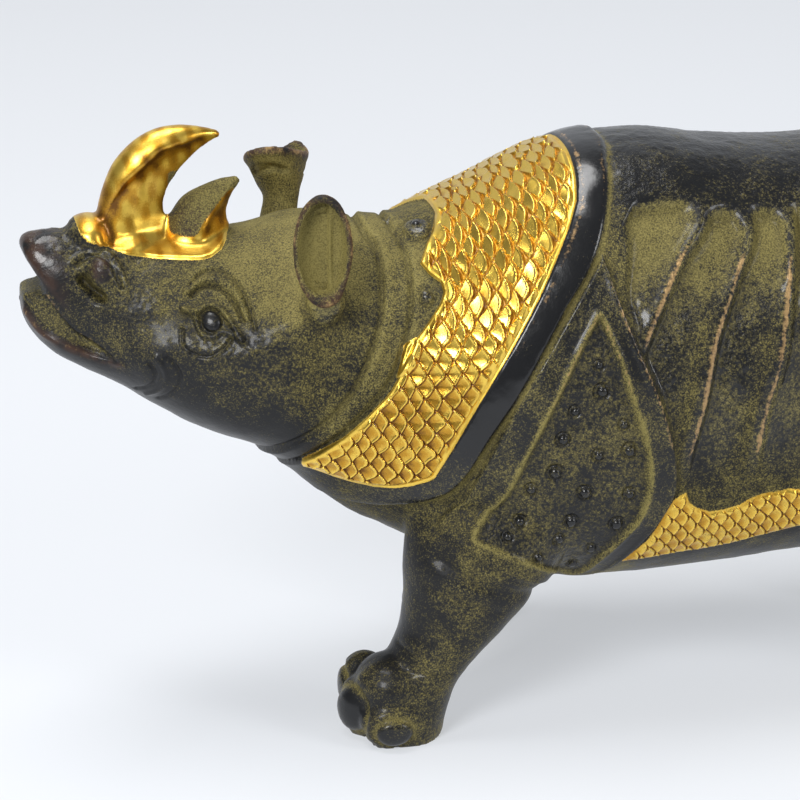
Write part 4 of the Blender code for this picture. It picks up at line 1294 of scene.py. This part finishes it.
DARK_BRONZE = (0.0075, 0.0078, 0.0088, 1.0)
WARM_BRONZE = (0.060, 0.030, 0.019, 1.0)
OLIVE = (0.085, 0.070, 0.022, 1.0)
OLIVE_LIGHT = (0.245, 0.205, 0.064, 1.0)
COPPER = (0.46, 0.29, 0.13, 1.0)
GOLD = (0.92, 0.62, 0.098, 1.0)
# Deeper gold, and the brown of rubbed gilding; both also serve as painted shade in the scales' crevices and
# roots.
GOLD_DEEP = (0.56, 0.29, 0.026, 1.0)
GOLD_RUB_AND_SHADE = (0.19, 0.080, 0.012, 1.0)
BUMP_DEPTH = 0.00035
# Noises of the finish, from grain to clouds: lumps to a metre, detail and roughness.
FINISH_NOISES = ((2100.0, 2.0, 0.6), (900.0, 2.0, 0.6), (150.0, 3.0, 0.55), (40.0, 2.0, 0.5))

PAPER = (0.36, 0.37, 0.39, 1.0)
COOL_WHITE = (0.93, 0.96, 1.0, 1.0)
SKY_STRENGTH = 0.22
LIGHTS_AIM = (0.0, 0.0, 0.10)
# Name, place, size and power of each softbox, in metres and watts.
SOFTBOXES = (
    ("softbox_left", (-1.0, -1.2, 1.2), (0.6, 0.6), 24.0),
    ("softbox_right", (1.3, -1.0, 0.9), (0.4, 0.8), 10.0),
    ("softbox_top", (-0.3, 0.2, 1.6), (0.9, 0.6), 17.0),
)


def gilt_bronze():
    """Dark bronze under a dull yellow-green patina, worn to copper on its edges and gilt in places, with
    painted shade in crevices and on undersides and painted highlights on ridges.
    """
    n = Nodes("gilt_bronze")
    place = n.add("ShaderNodeTexCoord").outputs["Object"]
    unit = 1.0 / (1000.0 * PART)
    grain, fleck, patch, clouds = (n.noise(place, lumps * unit, *kind) for lumps, *kind in FINISH_NOISES)
    masks = [n.mask(name) for name in MASKS]
    gilt, olive, wear, warm, rub, gloss, pits, crest, scales, scale_p, scale_q, tips = masks

    amount = n.swayed(clouds, 0.60, n.swayed(patch, 0.70, olive))
    texture = n.blend(n.plus(pits, 0.25, 0.45), grain, fleck)
    cover = n.ramp(n.plus(amount, 0.46, n.math("SUBTRACT", texture, 0.73)), -0.15, 0.15)
    dark = n.mix(n.times(warm, n.ramp(patch, 0.30, 0.55)), DARK_BRONZE, WARM_BRONZE)
    # The patina is lightened on crests as a painted highlight and darkened in hollows as painted shade.
    tint = n.plus(crest, 0.20, n.plus(amount, 0.25, grain))
    green = n.mix(n.ramp(tint, 0.50, 0.95), OLIVE, OLIVE_LIGHT)
    rubbed = n.swayed(patch, 1.3, n.swayed(fleck, 1.3, wear))
    rubbed = n.ramp(n.plus(crest, 0.25, rubbed), 0.45, 1.05, 0.0, 0.8)
    colour = n.mix(rubbed, n.mix(cover, dark, green), COPPER)

    along_p, along_q = (n.math("MAXIMUM", n.math("FRACT", step), 0.001) for step in (scale_p, scale_q))
    total = n.math("ADD", n.math("POWER", along_p, tips), n.math("POWER", along_q, tips))
    reach = n.math("POWER", total, n.math("DIVIDE", 1.0, tips))
    # A scale's rim, lightened in the gold as a painted highlight.
    rim = n.times(n.times(n.ramp(reach, 0.78, 0.92), n.ramp(reach, 1.0, 0.96)), scales)
    low_place = n.ramp(n.math("MINIMUM", along_p, along_q), 0.10, 0.01)
    # The crevice between scales and each scale's root are darkened in the gold as painted shade.
    crevice = n.times(n.math("MAXIMUM", low_place, n.ramp(reach, 0.98, 1.03)), scales)
    root = n.times(n.ramp(reach, 0.75, 0.15), scales)

    # The gold's tone: rubbed gilding and random clouds, lightened on crests and rims as painted highlights,
    # darkened in crevices, at scale roots and in hollows as painted shade.
    tone = n.swayed(grain, 0.5, n.swayed(patch, 1.1, rub))
    for part, weight in ((crest, -0.5), (crevice, 0.60), (rim, -0.5), (root, 0.28)):
        tone = n.plus(part, weight, tone)
    gold = n.mix(n.ramp(tone, 0.05, 0.55), GOLD, GOLD_DEEP)
    gold = n.mix(n.ramp(tone, 0.50, 1.00), gold, GOLD_RUB_AND_SHADE)
    on_gold = n.ramp(n.swayed(patch, 0.3, n.swayed(grain, 0.5, gilt)), 0.40, 0.60)

    plain = n.blend(gloss, 0.54, 0.25)
    rough = n.blend(rubbed, n.blend(cover, plain, n.math("ADD", plain, 0.20)), 0.36)
    satin = n.blend(scales, n.ramp(patch, 0.3, 0.8, 0.30, 0.46), n.ramp(patch, 0.3, 0.8, 0.20, 0.34))
    ground = n.times(fleck, n.plus(pits, 1.6, 0.5))
    on_scale = n.plus(grain, 0.18, n.plus(rim, 1.0, n.times(crevice, -1.4)))
    bump = n.add("ShaderNodeBump", {
        "Strength": n.blend(on_gold, n.blend(gloss, 0.60, 0.40), 0.55),
        "Distance": BUMP_DEPTH / unit,
        "Height": n.blend(on_gold, n.plus(cover, 0.5, ground), on_scale),
    })
    n.shade(
        Base_Color=n.mix(on_gold, colour, gold),
        Metallic=n.blend(on_gold, n.blend(rubbed, 0.0, 0.6), 1.0),
        Roughness=n.blend(on_gold, rough, n.plus(crevice, 0.25, satin)),
        Specular_IOR_Level=0.25,
        Coat_Weight=n.math("MAXIMUM", n.times(on_gold, 0.30), n.times(gloss, 0.50)),
        Coat_Roughness=0.16,
        Normal=bump.outputs["Normal"],
    )
    return n.material


def backdrop():
    """A pale floor that curves up into a wall far behind the figure."""
    form = bmesh.new()
    half, bend, depth, height = 6.0, 1.2, 2.6, 5.0
    profile = [(-4.0, 0.0)]
    for turn in np.linspace(0.0, math.pi / 2, 24):
        profile.append((depth + bend * math.sin(turn), bend * (1.0 - math.cos(turn))))
    profile.append((depth + bend, height))
    rows = [[form.verts.new((x, y, z)) for x in (-half, half)] for y, z in profile]
    for (a, b), (c, d) in zip(rows, rows[1:]):
        form.faces.new((a, b, d, c))
    mesh = mesh_of(form, "floor")
    mesh.shade_smooth()
    thing = add_object("floor", mesh)
    paper = Nodes("paper")
    paper.shade(Base_Color=PAPER, Emission_Color=COOL_WHITE, Emission_Strength=0.48)
    paper.shade(Roughness=0.9, Specular_IOR_Level=0.1)
    mesh.materials.append(paper.material)


def area_light(name, place, size, power):
    """A softbox that points at the middle of the figure."""
    light = bpy.data.lights.new(name, "AREA")
    light.shape = "RECTANGLE"
    light.size, light.size_y = size
    light.energy = power
    thing = add_object(name, light)
    thing.location = place
    thing.rotation_euler = (Vector(LIGHTS_AIM) - Vector(place)).to_track_quat("-Z", "Y").to_euler()


def studio():
    scene = bpy.context.scene
    scene.view_settings.view_transform = "Standard"
    scene.view_settings.look = "None"
    world = bpy.data.worlds.new("studio")
    world.use_nodes = True
    sky = world.node_tree.nodes["Background"]
    sky.inputs["Color"].default_value = COOL_WHITE
    sky.inputs["Strength"].default_value = SKY_STRENGTH
    scene.world = world
    for name, place, size, power in SOFTBOXES:
        area_light(name, place, size, power)


def camera():
    """The photo's view: the pan and the tilt are seen from the figure."""
    data = bpy.data.cameras.new("photo_view")
    data.sensor_width = SENSOR
    data.lens = SENSOR * CAMERA_AWAY / (PHOTO_PIXEL * PHOTO_PIXELS)
    data.clip_start = 0.01
    thing = add_object("photo_view", data)
    level = math.cos(CAMERA_TILT)
    back = Vector((math.sin(CAMERA_PAN) * level, -math.cos(CAMERA_PAN) * level, math.sin(CAMERA_TILT)))
    target = Vector((-MIDDLE_X, 0.0, CAMERA_AIM_Z)) * PART
    thing.location = target + back * (CAMERA_AWAY * PART)
    thing.rotation_euler = back.to_track_quat("Z", "Y").to_euler()
    bpy.context.scene.camera = thing


def main():
    mesh, carving = skin()
    masks, finish = carving.masks(), gilt_bronze()
    for name, wanted in regions(mesh).items():
        thing = piece_of(name, mesh, wanted, masks)
        thing.data.materials.append(finish)
    bpy.data.meshes.remove(mesh)
    backdrop()
    studio()
    camera()


main()
